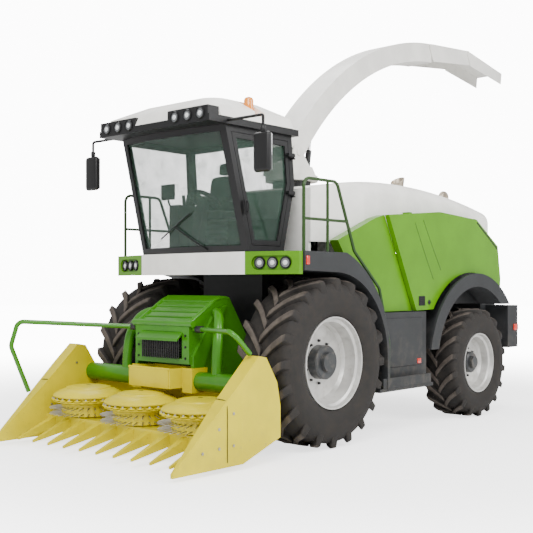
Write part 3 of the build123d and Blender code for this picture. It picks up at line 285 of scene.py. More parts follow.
def pick(piece):
    clear_selection()
    piece.select_set(True)
    bpy.context.view_layer.objects.active = piece
    return piece


def edit():
    bpy.ops.object.mode_set(mode="EDIT")
    bpy.ops.mesh.select_all(action="SELECT")


def done():
    bpy.ops.object.mode_set(mode="OBJECT")
    return bpy.context.object


def settled(name, bevel=0.0, segments=2, angle=35):
    """Names the active piece, puts its place into its mesh and rounds its edges."""
    piece = bpy.context.object
    piece.name = name
    piece.data.name = name
    bpy.ops.object.transform_apply(location=True, rotation=True, scale=True)
    if bevel:
        rounding = piece.modifiers.new("rounding", "BEVEL")
        rounding.width = bevel
        rounding.segments = segments
        rounding.limit_method = "ANGLE"
        rounding.angle_limit = ROUNDED_ABOVE
        bpy.ops.object.modifier_apply(modifier=rounding.name)
    bpy.ops.object.shade_smooth_by_angle(angle=math.radians(angle))
    return piece


def aimed(direction):
    return Vector(direction).to_track_quat("Z", "Y").to_euler()


def pulled(outline, steps, filled):
    """Draws a circle at the first (radius, height) and pulls it through the others, left in edit mode."""
    clear_selection()
    radius, height = outline[0]
    fill = "NGON" if filled else "NOTHING"
    pull = bpy.ops.mesh.extrude_region_move if filled else bpy.ops.mesh.extrude_edges_move
    bpy.ops.mesh.primitive_circle_add(vertices=steps, radius=radius, fill_type=fill)
    edit()
    bpy.ops.transform.translate(value=(0, 0, height))
    for next_radius, next_height in outline[1:]:
        pull(TRANSFORM_OT_translate={"value": (0, 0, next_height - height)})
        grow = next_radius / radius
        bpy.ops.transform.resize(value=(grow, grow, 1), center_override=(0, 0, 0))
        radius, height = next_radius, next_height


def faced_out():
    """Turns the edited piece's faces outwards and leaves edit mode."""
    bpy.ops.mesh.select_all(action="SELECT")
    bpy.ops.mesh.normals_make_consistent(inside=False)
    return done()


def turned(name, outline, place, direction=(0, 0, 1), steps=48, bevel=0.0, angle=40):
    """A turned piece: a disc drawn at the first (radius, height) and pulled through the others."""
    pulled(outline, steps, filled=True)
    piece = faced_out()
    piece.rotation_euler = aimed(direction)
    piece.location = place
    return settled(name, bevel, angle=angle)


def slab(name, low, high, bevel=0.004, segments=2):
    """A block between two corners with rounded edges."""
    clear_selection()
    centre = [(a + b) / 2 for a, b in zip(low, high)]
    bpy.ops.mesh.primitive_cube_add(size=1, location=centre, scale=[b - a for a, b in zip(low, high)])
    return settled(name, bevel, segments)


def side_slab(name, side, across, along, up, bevel=0.004, segments=2):
    """A block on one side of the machine, between two distances on each axis."""
    near, far = sorted(side * x for x in across)
    return slab(name, (near, along[0], up[0]), (far, along[1], up[1]), bevel, segments)


def hex_bolt(place, direction, flange, head, seat, top):
    """A six-sided bolt: the radius of its flange and of its head, and the height of each."""
    outline = [(flange, -BOLT_SUNK), (flange, seat), (head, seat + 0.001), (head, top)]
    return turned("bolt", outline, place, direction, 6)


def piped(name, points, radius, sides=3):
    """A rigid tube through points with bends of its own."""
    clear_selection()
    line = bpy.data.curves.new(name, "CURVE")
    line.dimensions = "3D"
    line.bevel_depth = radius
    line.bevel_resolution = sides
    line.use_fill_caps = True
    run = line.splines.new("NURBS")
    run.points.add(len(points) - 1)
    for knot, point in zip(run.points, points):
        knot.co = (*point, 1)
    run.order_u = 3
    run.use_endpoint_u = True
    piece = bpy.data.objects.new(name, line)
    bpy.context.collection.objects.link(piece)
    pick(piece)
    bpy.ops.object.convert(target="MESH")
    return settled(name)


def ring_of(piece, count, centre, axis):
    """Repeats a piece round an axis inside its own mesh."""
    pick(piece)
    edit()
    share = 2 * math.pi * (count - 1) / count
    bpy.ops.mesh.spin(steps=count - 1, dupli=True, angle=share, center=centre, axis=axis)
    return done()


def mirrored(piece, name):
    """A copy with its own mesh on the other side of the machine."""
    pick(piece)
    bpy.ops.object.duplicate()
    edit()
    bpy.ops.transform.resize(value=(-1, 1, 1), center_override=(0, 0, 0))
    twin = faced_out()
    twin.name = name
    twin.data.name = name
    return twin


def joined(name, pieces):
    """Like pieces of one body made one object."""
    pick(pieces[0])
    for piece in pieces[1:]:
        piece.select_set(True)
    if len(pieces) > 1:
        bpy.ops.object.join()
    whole = bpy.context.object
    whole.name = name
    whole.data.name = name
    return whole


def finished(piece, body, finish):
    """Gives a piece its finish and the body it rides on."""
    piece.data.materials.clear()
    piece.data.materials.append(finish)
    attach(piece, body)
    return piece


def fitted(name, pieces, body, word):
    """Pieces of one finish made one object on the body that carries them."""
    return finished(joined(name, pieces), body, finishes[word])


def paired(name, piece, body, word):
    """A left piece and its mirrored twin, each on the body of its side."""
    piece.name = f"{name}_left"
    twin = mirrored(piece, f"{name}_right")
    finished(piece, f"{body}_left", finishes[word])
    finished(twin, f"{body}_right", finishes[word])


def middle(node):
    low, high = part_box(node)
    return [(a + b) / 2 for a, b in zip(low, high)]


def axle_y():
    """The front axle's place along the machine."""
    return middle("front_tyre_left")[1]


def from_axle(points, side=1):
    """Points counted from the front axle along the machine, set on one side of it."""
    return [(side * x, axle_y() + y, z) for x, y, z in points]


# Settings that a user would change


class HarvesterColours(bpy.types.PropertyGroup):
    """Colours of the harvester's paints and plastics."""

    lime: FloatVectorProperty(name="Lime panels", description="Side panels and lamp corners",
                              subtype="COLOR", default=(0.088, 0.262, 0.0), min=0, max=1)
    green: FloatVectorProperty(name="Machine green", description="Intake housing and header tubes",
                               subtype="COLOR", default=(0.040, 0.200, 0.002), min=0, max=1)
    yellow: FloatVectorProperty(name="Header yellow", description="Header frame, rotors and dividers",
                                subtype="COLOR", default=(0.66, 0.545, 0.0), min=0, max=1)
    cream: FloatVectorProperty(name="Cream", description="Hood, roof, band and spout",
                               subtype="COLOR", default=(0.93, 0.915, 0.86), min=0, max=1)
    grey: FloatVectorProperty(name="Grey panels", description="Fenders, tanks and bumper",
                              subtype="COLOR", default=(0.020, 0.0215, 0.023), min=0, max=1)
    black: FloatVectorProperty(name="Black", description="Cab frame, lamp pods and mirrors",
                               subtype="COLOR", default=(0.005, 0.005, 0.0055), min=0, max=1)
    silver: FloatVectorProperty(name="Rim silver", description="Wheel rims",
                                subtype="COLOR", default=(0.62, 0.61, 0.585), min=0, max=1)
    rail: FloatVectorProperty(name="Handrail green", description="Handrail tubes",
                              subtype="COLOR", default=(0.016, 0.050, 0.004), min=0, max=1)


class HarvesterSizes(bpy.types.PropertyGroup):
    """Sizes of the tyres' lugs and of the studio camera."""

    front_lugs: IntProperty(name="Front lugs", description="Lugs in each row of a front tyre",
                            default=20, min=8)
    rear_lugs: IntProperty(name="Rear lugs", description="Lugs in each row of a rear tyre",
                           default=18, min=8)
    front_lug_height: FloatProperty(name="Front lug height", description="Lug above the carcass",
                                    default=0.048, unit="LENGTH")
    rear_lug_height: FloatProperty(name="Rear lug height", description="Lug above the carcass",
                                   default=0.040, unit="LENGTH")
    lens_length: FloatProperty(name="Lens", description="Focal length of the studio camera in mm",
                               default=62.155)
    camera_rise: FloatProperty(name="Camera height", description="Height of the camera above the floor",
                               default=1.759, unit="LENGTH")


def colours():
    return bpy.context.scene.harvester_colours


def sizes():
    return bpy.context.scene.harvester_sizes


finishes = {}


# Operators: finishes of the solids


class HARVESTER_OT_finish_solids(bpy.types.Operator):
    """Gives every solid its finish"""

    bl_idname = "harvester.finish_solids"
    bl_label = "Finish the solids"

    solids = {
        "lime": "lamp_panels side_panels side_lid_left side_lid_right",
        "green": "intake_housing header_tubes",
        "yellow": "header_frame dividers rotor_left rotor_middle rotor_right",
        "cream": "front_band cab_roof hood",
        "spout": "spout_turret spout_arm spout_flap spout_flap_tip",
        "chassis": "chassis_frame rear_axle tie_rod knuckle_left knuckle_right chopper_housing "
                   "cab_platform rear_grille spout_lift_barrel header_lift_barrels",
        "rail": "handrails",
        "black": "cab_frame cab_door mirrors",
        "grey": "front_fenders side_tanks rear_fenders rear_bumper",
        "trim": "cab_controls",
        "cloth": "cab_seat",
        "glass": "cab_glass door_glass",
        "lens": "work_lamps",
        "amber": "marker_lamps",
        "horn": "exhaust",
        "chrome": "spout_lift_rod header_lift_rods",
        "dark_steel": "feed_roller",
        "engine": "engine",
    }
    hub_radius = {"front": 0.187, "rear": 0.142}
    hub_grey = (0.020, 0.022, 0.024)
    wear_foot = 0.45
    wear_top = 0.1

    def execute(self, context):
        self.make_finishes(colours())
        for word, nodes in self.solids.items():
            for node in nodes.split():
                self.dress(node, finishes[word])
        for axle, hub in self.hub_radius.items():
            for word, _ in SIDES:
                self.dress_wheel(axle, word, hub)
        return {"FINISHED"}

    @staticmethod
    def make_finishes(tone):
        # Paints by colour, roughness, coat, dust and the height that the dust reaches
        for word, *values in (
            ("lime", tone.lime, 0.28, 0.16, 0.10),
            # Lime darkened to painted shade, for the strips along the lids' pressed lines
            ("deep_lime", shaded(tone.lime, 0.42), 0.3, 0.3, 0.18),
            ("green", tone.green, 0.26, 0.35, 0.25),
            ("yellow", tone.yellow, 0.34, 0.12, 0.12, 0.7),
            ("cream", tone.cream, 0.30, 0.3, 0.2),
            ("spout", shaded(tone.cream, 0.86), 0.42, 0.15, 0.2),
            ("chassis", (0.016, 0.017, 0.018), 0.45, 0.1, 0.5, 1.4),
            ("rail", tone.rail, 0.35, 0.2, 0.2),
        ):
            finishes[word] = painted(f"{word}_paint", *values)
        finishes["black"] = moulded("cab_black", tone.black, 0.32, 0.1)
        finishes["grey"] = moulded("grey_plastic", tone.grey, 0.50, 0.35)
        finishes["trim"] = moulded("cab_trim", (0.030, 0.031, 0.033), 0.6, 0.1)
        finishes["cloth"] = seat_cloth("seat_weave", (0.030, 0.031, 0.034))
        finishes["glass"] = tinted_pane("tinted_pane", (0.045, 0.085, 0.062), 0.34)
        finishes["lens"] = lens("lamp_lens", (0.80, 0.82, 0.82))
        finishes["bowl"] = bare_metal("lamp_bowl", (0.30, 0.31, 0.32), 0.22)
        finishes["amber"] = lens("amber_lens", (0.85, 0.26, 0.01), 0.15)
        finishes["red"] = lens("red_lens", (0.65, 0.03, 0.012), 0.1)
        finishes["horn"] = bare_metal("horn_metal", (0.55, 0.47, 0.37), 0.35)
        finishes["chrome"] = bare_metal("rod_chrome", (0.72, 0.72, 0.73), 0.1)
        finishes["steel"] = bare_metal("worn_steel", (0.50, 0.48, 0.44), 0.34)
        finishes["dark_steel"] = bare_metal("dark_steel", (0.07, 0.07, 0.07), 0.42)
        finishes["engine"] = painted("engine_grey", (0.13, 0.135, 0.135), 0.5, 0.05, 0.4)

    def dress_wheel(self, axle, word, hub):
        """Paints one rim and gives its tyre rubber that is worn towards the lugs' tops."""
        tyre = f"{axle}_tyre_{word}"
        centre = middle(tyre)
        paint = wheel_paint(f"{axle}_rim_paint_{word}", centre, hub, colours().silver, self.hub_grey)
        self.dress(f"{axle}_rim_{word}", paint)
        low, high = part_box(tyre)
        radius = (high[2] - low[2]) / 2
        height = getattr(sizes(), f"{axle}_lug_height")
        foot, top = radius - height * self.wear_foot, radius - height * self.wear_top
        finishes[tyre] = rubber(f"{axle}_rubber_{word}", centre, foot, top)
        self.dress(tyre, finishes[tyre])

    @staticmethod
    def dress(node, finish):
        solid = bpy.data.objects[node]
        solid.data.materials.clear()
        solid.data.materials.append(finish)


# Operators: wheels


class HARVESTER_OT_tyres(bpy.types.Operator):
    """Models the four tyres: a carcass and two rows of bar lugs each"""

    bl_idname = "harvester.tyres"
    bl_label = "Tyres"

    bead_gap = 0.0004
    # The carcass from bead to crown: shares of the wall's height and of half the width
    half_outline = (
        (0, 0.80), (0.05, 0.865), (0.16, 0.93), (0.34, 0.985), (0.52, 0.995), (0.70, 0.965), (0.84, 0.91),
        (0.93, 0.84), (0.975, 0.72), (0.995, 0.4),
    )
    carcass_steps = 96
    lug_root = 0.05
    lug_pitch_share = 0.38
    lug_taper = 0.72
    lug_edge = 0.01
    lug_clearance = 0.001
    lug_bevel = 0.006
    lug_sweep = math.radians(21)
    # A lug from crown to shoulder: share of half the width, share of the sweep, drop towards the axle
    lug_steps = (
        (0.17, 0.24, 0), (0.17, 0.21, 0), (0.17, 0.18, 0), (0.17, 0.14, 0), (0.15, 0.12, 0),
        (0.13, 0.08, -0.014), (0.035, 0.0, -0.055),
    )

    def execute(self, context):
        for axle in ("front", "rear"):
            count = getattr(sizes(), f"{axle}_lugs")
            height = getattr(sizes(), f"{axle}_lug_height")
            left = self.tyre(f"{axle}_tyre_left", count, height)
            self.place(left, f"{axle}_tyre_left", f"{axle}_wheel_left")
            right = mirrored(left, f"dressed_{axle}_tyre_right")
            self.place(right, f"{axle}_tyre_right", f"{axle}_wheel_right")
        return {"FINISHED"}

    @staticmethod
    def place(piece, node, body):
        finished(piece, body, finishes[node])
        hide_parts(node)

    def tyre(self, node, count, height):
        low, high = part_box(node)
        centre = middle(node)
        radius = (high[2] - low[2]) / 2
        half = (high[0] - low[0]) / 2
        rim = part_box(node.replace("tyre", "rim"))
        bead = (rim[1][2] - rim[0][2]) / 2 + self.bead_gap
        body = self.carcass(f"dressed_{node}", centre, radius - height, half, bead)
        lug = self.lug(centre, radius, half, height, count)
        ring_of(lug, count, centre, (1, 0, 0))
        pick(lug)
        bpy.ops.object.duplicate()
        edit()
        bpy.ops.transform.resize(value=(-1, 1, 1), center_override=centre)
        bpy.ops.transform.rotate(value=math.pi / count, orient_axis="X", center_override=centre)
        far_row = faced_out()
        return joined(f"dressed_{node}", [body, lug, far_row])

    def carcass(self, name, centre, radius, half, bead):
        """Closed ring drawn as a circle and pulled over the tread from bead to bead."""
        side = [(bead + share * (radius - bead), width * half) for share, width in self.half_outline]
        pulled([(r, -x) for r, x in side] + [(radius, 0.0)] + side[::-1], self.carcass_steps, filled=False)
        bpy.ops.mesh.select_all(action="DESELECT")
        bpy.ops.mesh.select_non_manifold()
        bpy.ops.mesh.bridge_edge_loops()
        piece = faced_out()
        piece.rotation_euler = aimed((1, 0, 0))
        piece.location = centre
        return settled(name, angle=50)

    def lug(self, centre, radius, half, height, count):
        """One bar lug: a tapered face pulled from the crown to the shoulder while it turns about the axle."""
        x, y, z = centre
        foot = radius - height - self.lug_root
        tall = radius - foot
        thick = 2 * math.pi * radius / count * self.lug_pitch_share
        start = (x - 0.05 * half, y, z + foot + tall / 2)
        clear_selection()
        bpy.ops.mesh.primitive_plane_add(size=1, rotation=(0, math.pi / 2, 0), location=start)
        bpy.ops.object.transform_apply(location=True, rotation=True, scale=True)
        edit()
        bpy.ops.transform.resize(value=(1, thick, tall), center_override=(0, *start[1:]))
        piece = done()
        for corner in piece.data.vertices:
            if corner.co.z > z + radius - self.lug_edge:
                corner.co.y = y + (corner.co.y - y) * self.lug_taper
                corner.co.z = z + math.sqrt(radius ** 2 - (corner.co.y - y) ** 2) - self.lug_clearance
        edit()
        for forward, share, drop in self.lug_steps:
            bpy.ops.mesh.extrude_region_move(TRANSFORM_OT_translate={"value": (forward * half, 0, 0)})
            bpy.ops.transform.rotate(value=self.lug_sweep * share, orient_axis="X", center_override=centre)
            if drop:
                scale = 1 + drop / radius
                bpy.ops.transform.resize(value=(1, scale, scale), center_override=centre)
        faced_out()
        return settled("lug", self.lug_bevel, 2, 40)


class HARVESTER_OT_wheel_bolts(bpy.types.Operator):
    """Sets a ring of wheel bolts on each rim's disc"""

    bl_idname = "harvester.wheel_bolts"
    bl_label = "Wheel bolts"

    # Axle, radius of the ring, number of bolts, depth of the disc behind the rim's outer edge
    rings = (("front", 0.232, 10, 0.230), ("rear", 0.182, 8, 0.190))
    outline = [(0.017, -0.004), (0.017, 0.006), (0.013, 0.007), (0.013, 0.024), (0.010, 0.027)]

    def execute(self, context):
        for axle, ring, count, depth in self.rings:
            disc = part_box(f"{axle}_rim_left")[1][0] - depth
            centre = middle(f"{axle}_tyre_left")
            place = (disc, centre[1], centre[2] + ring)
            bolt = turned("bolt", self.outline, place, (1, 0, 0), 6, 0.001)
            ring_of(bolt, count, centre, (1, 0, 0))
            paired(f"{axle}_wheel_bolts", bolt, f"{axle}_wheel", "dark_steel")
        return {"FINISHED"}


# Operators: cab


class HARVESTER_OT_lamps(bpy.types.Operator):
    """Models the round work lamps with their bezels, bowls and lenses"""

    bl_idname = "harvester.lamps"
    bl_label = "Work lamps"

    rise = 0.058
    pod_depth = 0.020
    pod_places = (0.37, 0.56, 0.75)
    corner_out = 1.14
    corner_ahead = 0.664
    corner_steps = (-0.15, 0.0, 0.15)
    corner_turn = math.radians(15)
    bezel = [(0.062, -0.03), (0.062, 0.004), (0.058, 0.010), (0.051, 0.008), (0.049, -0.004)]
    bowl = [(0.049, -0.004), (0.049, 0.001), (0.044, 0.002), (0.026, -0.002), (0.014, 0.003)]
    glass = [(0.026, 0.0), (0.026, 0.005), (0.021, 0.009), (0.008, 0.011)]

    def execute(self, context):
        low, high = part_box("work_lamps")
        cosine, sine = math.cos(self.corner_turn), math.sin(self.corner_turn)
        places = []
        for _, side in SIDES:
            for x in self.pod_places:
                places.append(((side * x, low[1] + self.pod_depth, high[2] - self.rise), (0, -1, 0)))
            for step in self.corner_steps:
                x = self.corner_out + step * cosine
                y = axle_y() - self.corner_ahead + step * sine
                places.append(((side * x, y, low[2] + self.rise), (side * sine, -cosine, 0)))
        bezels = [turned("bezel", self.bezel, place, out, 28) for place, out in places]
        bowls = [turned("bowl", self.bowl, place, out, 28) for place, out in places]
        lenses = [turned("lens", self.glass, place, out, 24) for place, out in places]
        whole = fitted("lamp_bezels", bezels, "machine", "black")
        fitted("lamp_bowls", bowls, "machine", "bowl")
        fitted("lamp_lenses", lenses, "machine", "lens")
        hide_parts("work_lamps")
        return {"FINISHED"}


class HARVESTER_OT_mirrors(bpy.types.Operator):
    """Models the mirrors: bent arms, rounded heads and their glasses"""

    bl_idname = "harvester.mirrors"
    bl_label = "Mirrors"

    arm_out = 1.36
    arm_radius = 0.015
    clamp = [(0.024, -0.03), (0.027, -0.025), (0.027, 0.025), (0.024, 0.03)]

    def execute(self, context):
        (_, front, foot), (_, back, top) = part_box("mirrors")
        y, bar = back - 0.035, top - 0.016
        bend = [(0.86, bar), (1.10, bar), (1.30, bar), (self.arm_out, bar)]
        bend += [(self.arm_out, z) for z in (bar - 0.06, 3.30, 3.10)]
        arms, heads, glasses = [], [], []
        for _, side in SIDES:
            arms.append(piped("arm", [(side * x, y, z) for x, z in bend], self.arm_radius))
            up = (foot, foot + 0.40)
            heads.append(side_slab("head", side, (1.252, 1.468), (front, back - 0.008), up, 0.036, 5))
            up = (foot + 0.02, foot + 0.38)
            glasses.append(side_slab("glass", side, (1.268, 1.452), (back - 0.010, back - 0.002), up, 0.003))
            heads.append(turned("clamp", self.clamp, (side * self.arm_out, y, foot + 0.43), steps=20))
        whole = fitted("mirror_heads", heads, "machine", "black")
        fitted("mirror_arms", arms, "machine", "black")
        fitted("mirror_glasses", glasses, "machine", "chrome")
        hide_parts("mirrors")
        return {"FINISHED"}


class HARVESTER_OT_seat(bpy.types.Operator):
    """Models the driver's seat: three cushions, armrests and a bellows stand"""

    bl_idname = "harvester.seat"
    bl_label = "Seat"

    ahead_of_axle = 0.33
    lean = math.radians(6)
    fold_levels = (2.23, 2.29, 2.35, 2.41)

    def execute(self, context):
        y = axle_y() - self.ahead_of_axle
        base = self.pad("seat_cushion", (-0.25, y - 0.185, 2.485), (0.25, y + 0.12, 2.60), 0)
        back = self.pad("seat_back", (-0.23, y + 0.095, 2.60), (0.23, y + 0.19, 3.02), self.lean)
        rest = self.pad("seat_headrest", (-0.14, y + 0.165, 3.04), (0.14, y + 0.245, 3.175), self.lean)
        for cushion in (base, back, rest):
            finished(cushion, "machine", finishes["cloth"])
        folds = [(0.16, 2.15), (0.16, 2.19), (0.13, 2.20)]
        for z in self.fold_levels:
            folds += [(0.145, z), (0.118, z + 0.03)]
        stand = turned("seat_stand", folds + [(0.15, 2.47), (0.15, 2.485)], (0, y - 0.02, 0), steps=32)
        rests = [side_slab("rest", side, (0.217, 0.273), (y - 0.14, y + 0.15), (2.70, 2.745), 0.016, 3)
                 for _, side in SIDES]
        fitted("seat_stand", [stand] + rests, "machine", "trim")
        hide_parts("cab_seat")
        return {"FINISHED"}

    @staticmethod
    def pad(name, low, high, lean):
        """A cushion: a divided block, smoothed, leaned about its middle and rounded."""
        clear_selection()
        centre = [(a + b) / 2 for a, b in zip(low, high)]
        bpy.ops.mesh.primitive_cube_add(size=1, location=centre, scale=[b - a for a, b in zip(low, high)])
        bpy.ops.object.transform_apply(location=True, rotation=True, scale=True)
        edit()
        bpy.ops.mesh.subdivide(number_cuts=6)
        bpy.ops.mesh.vertices_smooth(factor=0.5, repeat=3)
        if lean:
            bpy.ops.transform.rotate(value=lean, orient_axis="X", center_override=centre)
        piece = done()
        soft = piece.modifiers.new("soft", "SUBSURF")
        soft.levels = 2
        soft.render_levels = 2
        bpy.ops.object.modifier_apply(modifier=soft.name)
        return settled(name, angle=60)


class HARVESTER_OT_controls(bpy.types.Operator):
    """Adds the steering wheel's rim and spokes, the monitor and the lever on the console"""

    bl_idname = "harvester.controls"
    bl_label = "Cab controls"

    wheel_place = (0, -0.535, 2.735)
    wheel_way = (0, 0.45, 0.9)
    wheel_radius = 0.175
    boss = [(0.05, -0.02), (0.05, 0.0), (0.035, 0.012)]
    lever = [(-0.39, -0.47, 2.66), (-0.39, -0.49, 2.74), (-0.38, -0.50, 2.80)]
    stalk = [(-0.46, -0.60, 2.64), (-0.47, -0.66, 2.70), (-0.47, -0.66, 2.76)]
    screen = [(-0.58, -0.675, 2.74), (-0.36, -0.645, 2.92)]

    def execute(self, context):
        hub = Vector(from_axle([self.wheel_place])[0])
        out = Vector(self.wheel_way).normalized()
        clear_selection()
        bpy.ops.mesh.primitive_torus_add(
            major_radius=self.wheel_radius, minor_radius=0.014, major_segments=48, minor_segments=12,
            location=hub, rotation=aimed(out))
        pieces = [settled("wheel_rim"), turned("boss", self.boss, hub, out, 24)]
        across = Vector((1, 0, 0))
        pieces.append(piped("lever", from_axle(self.lever), 0.020))
        pieces.append(piped("stalk", from_axle(self.stalk), 0.012))
        pieces.append(slab("screen", *from_axle(self.screen), 0.010, 3))
        for way in (across, -across, out.cross(across)):
            pieces.append(piped("spoke", [hub, hub + 0.09 * way, hub + 0.172 * way], 0.010))
        fitted("cab_fittings", pieces, "machine", "trim")
        return {"FINISHED"}


# Operators: header


class HARVESTER_OT_rotor_fittings(bpy.types.Operator):
    """Models the gathering rotors: domed covers, scalloped rims, bolts and pointed teeth"""

    bl_idname = "harvester.rotor_fittings"
    bl_label = "Gathering rotors"

    profile = [
        (0.295, 0.312), (0.295, 0.440), (0.386, 0.470), (0.386, 0.478), (0.350, 0.486), (0.350, 0.512),
        (0.388, 0.520), (0.392, 0.532), (0.378, 0.552), (0.300, 0.592), (0.252, 0.606), (0.246, 0.618),
        (0.200, 0.630), (0.060, 0.639), (0.020, 0.639),
    ]
    lobe = [(0.036, 0.488), (0.036, 0.499), (0.034, 0.501)]
    lobe_out = 0.372
    stud = [(0.013, 0.499), (0.013, 0.508), (0.010, 0.513)]
    stud_out = 0.386
    lobe_count = 26
    tooth_rows = (0.340, 0.405)
    tooth_count = 30
    tooth_root = 0.285
    tooth_tip = 0.4285
    tooth_lean = 0.024
    tooth_drop = 0.012

    def execute(self, context):
        for word in ("left", "middle", "right"):
            x, y, _ = middle(f"rotor_{word}")
            centre = (x, y, 0)
            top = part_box(f"rotor_{word}")[1][2]
            cover = turned("cover", self.profile, centre, steps=72, angle=28)
            nut = [(0.034, top - 0.010), (0.034, top - 0.002), (0.026, top - 0.0003)]
            cap = turned("cap", nut, centre, steps=6)
            lobe = turned("lobe", self.lobe, (x + self.lobe_out, y, 0), steps=14)
            stud = turned("stud", self.stud, (x + self.stud_out, y, 0), steps=8)
            teeth = [self.tooth(x, y, z) for z in self.tooth_rows]
            for piece in (lobe, stud):
                ring_of(piece, self.lobe_count, centre, (0, 0, 1))
            for piece in teeth:
                ring_of(piece, self.tooth_count, centre, (0, 0, 1))
            body = f"gatherer_{word}"
            whole = fitted(f"rotor_cover_{word}", [cover, lobe], body, "yellow")
            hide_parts(f"rotor_{word}")
            fitted(f"rotor_cap_{word}", [cap], body, "dark_steel")
            fitted(f"rotor_teeth_{word}", [stud] + teeth, body, "steel")
        return {"FINISHED"}

    def tooth(self, x, y, z):
        """One pointed tooth that leans back from the turn."""
        low, high = (x + self.tooth_root, y - 0.012, z), (x + self.tooth_tip, y + 0.012, z + 0.008)
        piece = slab("tooth", low, high, 0)
        for corner in piece.data.vertices:
            if corner.co.x > x + (self.tooth_root + self.tooth_tip) / 2:
                corner.co.y = y - self.tooth_lean + (corner.co.y - y) * 0.18
                corner.co.z -= self.tooth_drop
        pick(piece)
        return settled("tooth", 0.0015, 1)


class HARVESTER_OT_header_fittings(bpy.types.Operator):
    """Adds bolts and seams to the dividers, and collars beside the intake"""

    bl_idname = "harvester.header_fittings"
    bl_label = "Header fittings"

    outer_bolts = ((-1.62, 0.25), (-1.62, 0.55), (-1.80, 0.24), (-1.80, 0.42), (-2.0, 0.22))
    inner_bolts = ((-1.05, 0.70), (-1.05, 0.40), (-1.30, 0.85), (-1.45, 0.45), (-1.65, 0.40))
    inner_face = 1.345
    collar = [(0.034, -0.05), (0.038, -0.045), (0.038, 0.045), (0.034, 0.05)]
    seam = [(1.4975, 0.10), (1.4975, 0.40), (1.4975, 0.670), (1.43, 0.684), (1.352, 0.684)]
    seam_ahead = 1.70

    def execute(self, context):
        a = axle_y()
        bolts, seams = [], []
        for _, side in SIDES:
            for y, z in self.outer_bolts:
                place = (side * self.outer_face(y), a + y, z)
                bolts.append(hex_bolt(place, (side, 0, 0), 0.016, 0.011, 0.003, 0.007))
            for y, z in self.inner_bolts:
                place = (side * self.inner_face, a + y, z)
                bolts.append(hex_bolt(place, (-side, 0, 0), 0.016, 0.011, 0.003, 0.012))
            seams.append(turned("collar", self.collar, (side * 0.53, a - 1.12, 1.29), (1, 0, 0), 24))
            seams.append(piped("seam", [(side * x, a - self.seam_ahead, z) for x, z in self.seam], 0.004))
        fitted("divider_bolts", bolts, "header", "steel")
        fitted("divider_seams", seams, "header", "dark_steel")
        return {"FINISHED"}

    @staticmethod
    def outer_face(y):
        """Half the width over the dividers' noses, which draw in towards the front."""
        return 1.51 - (-1.5 - y) / 0.84 * 0.0625


class HARVESTER_OT_intake_fittings(bpy.types.Operator):
    """Adds the intake's ribs, cross bar, curved arms, lip and bars, and the trough's front wall"""

    bl_idname = "harvester.intake_fittings"
    bl_label = "Intake fittings"

    foot = (0, -1.18, 1.34)
    crest = (0, -0.70, 1.64)
    heel = (0, -0.57, 1.60)
    rib_shares = (0.24, 0.42, 0.60, 0.78)
    arm = [
        (0.45, -0.80, 1.46), (0.60, -0.90, 1.46), (0.70, -1.02, 1.25), (0.72, -1.06, 1.0),
        (0.72, -1.065, 0.80),
    ]
    bar_pitch = 0.029
    bars_each_side = 10
    lip_drop = 0.075

    def execute(self, context):
        a = axle_y()
        foot, crest, heel = (Vector(point) for point in from_axle([self.foot, self.crest, self.heel]))
        greens = []
        for share in self.rib_shares:
            point = foot.lerp(crest, share)
            greens.append(piped("rib", [point + Vector((x, 0, 0)) for x in (-0.39, 0, 0.39)], 0.014))
        for _, side in SIDES:
            over = Vector((side * 0.41, 0, 0))
            rail = [point + over for point in (foot, foot.lerp(crest, 0.5), crest, heel)]
            greens.append(piped("edge", rail, 0.024))
            greens.append(piped("arm", from_axle(self.arm, side), 0.055, 4))
        greens.append(piped("cross_bar", [(x, a - 1.160, 1.345) for x in (-0.47, 0, 0.47)], 0.038))
        greens.append(self.lip(a))
        bars = []
        for step in range(-self.bars_each_side, self.bars_each_side + 1):
            x = self.bar_pitch * step
            bars.append(slab("bar", (x - 0.006, a - 1.208, 0.97), (x + 0.006, a - 1.195, 1.21), 0.003, 1))
        wall = slab("wall", (-0.31, a - 1.372, 0.668), (0.31, a - 1.346, 0.872), 0.008)
        edge = piped("edge", [(x, a - 1.359, 0.872) for x in (-0.325, 0, 0.325)], 0.015)
        fitted("intake_ribs", greens, "header", "green")
        fitted("intake_bars", bars, "header", "dark_steel")
        fitted("trough_front", [wall, edge], "header", "yellow")
        return {"FINISHED"}

    def lip(self, a):
        """The plate over the intake's mouth, its front edge bent down."""
        piece = slab("lip", (-0.33, a - 1.262, 1.235), (0.33, a - 1.17, 1.262), 0)
        for corner in piece.data.vertices:
            if corner.co.y < a - 1.2:
                corner.co.z -= self.lip_drop
        pick(piece)
        return settled("lip", 0.005, 2)


# Operators: panels


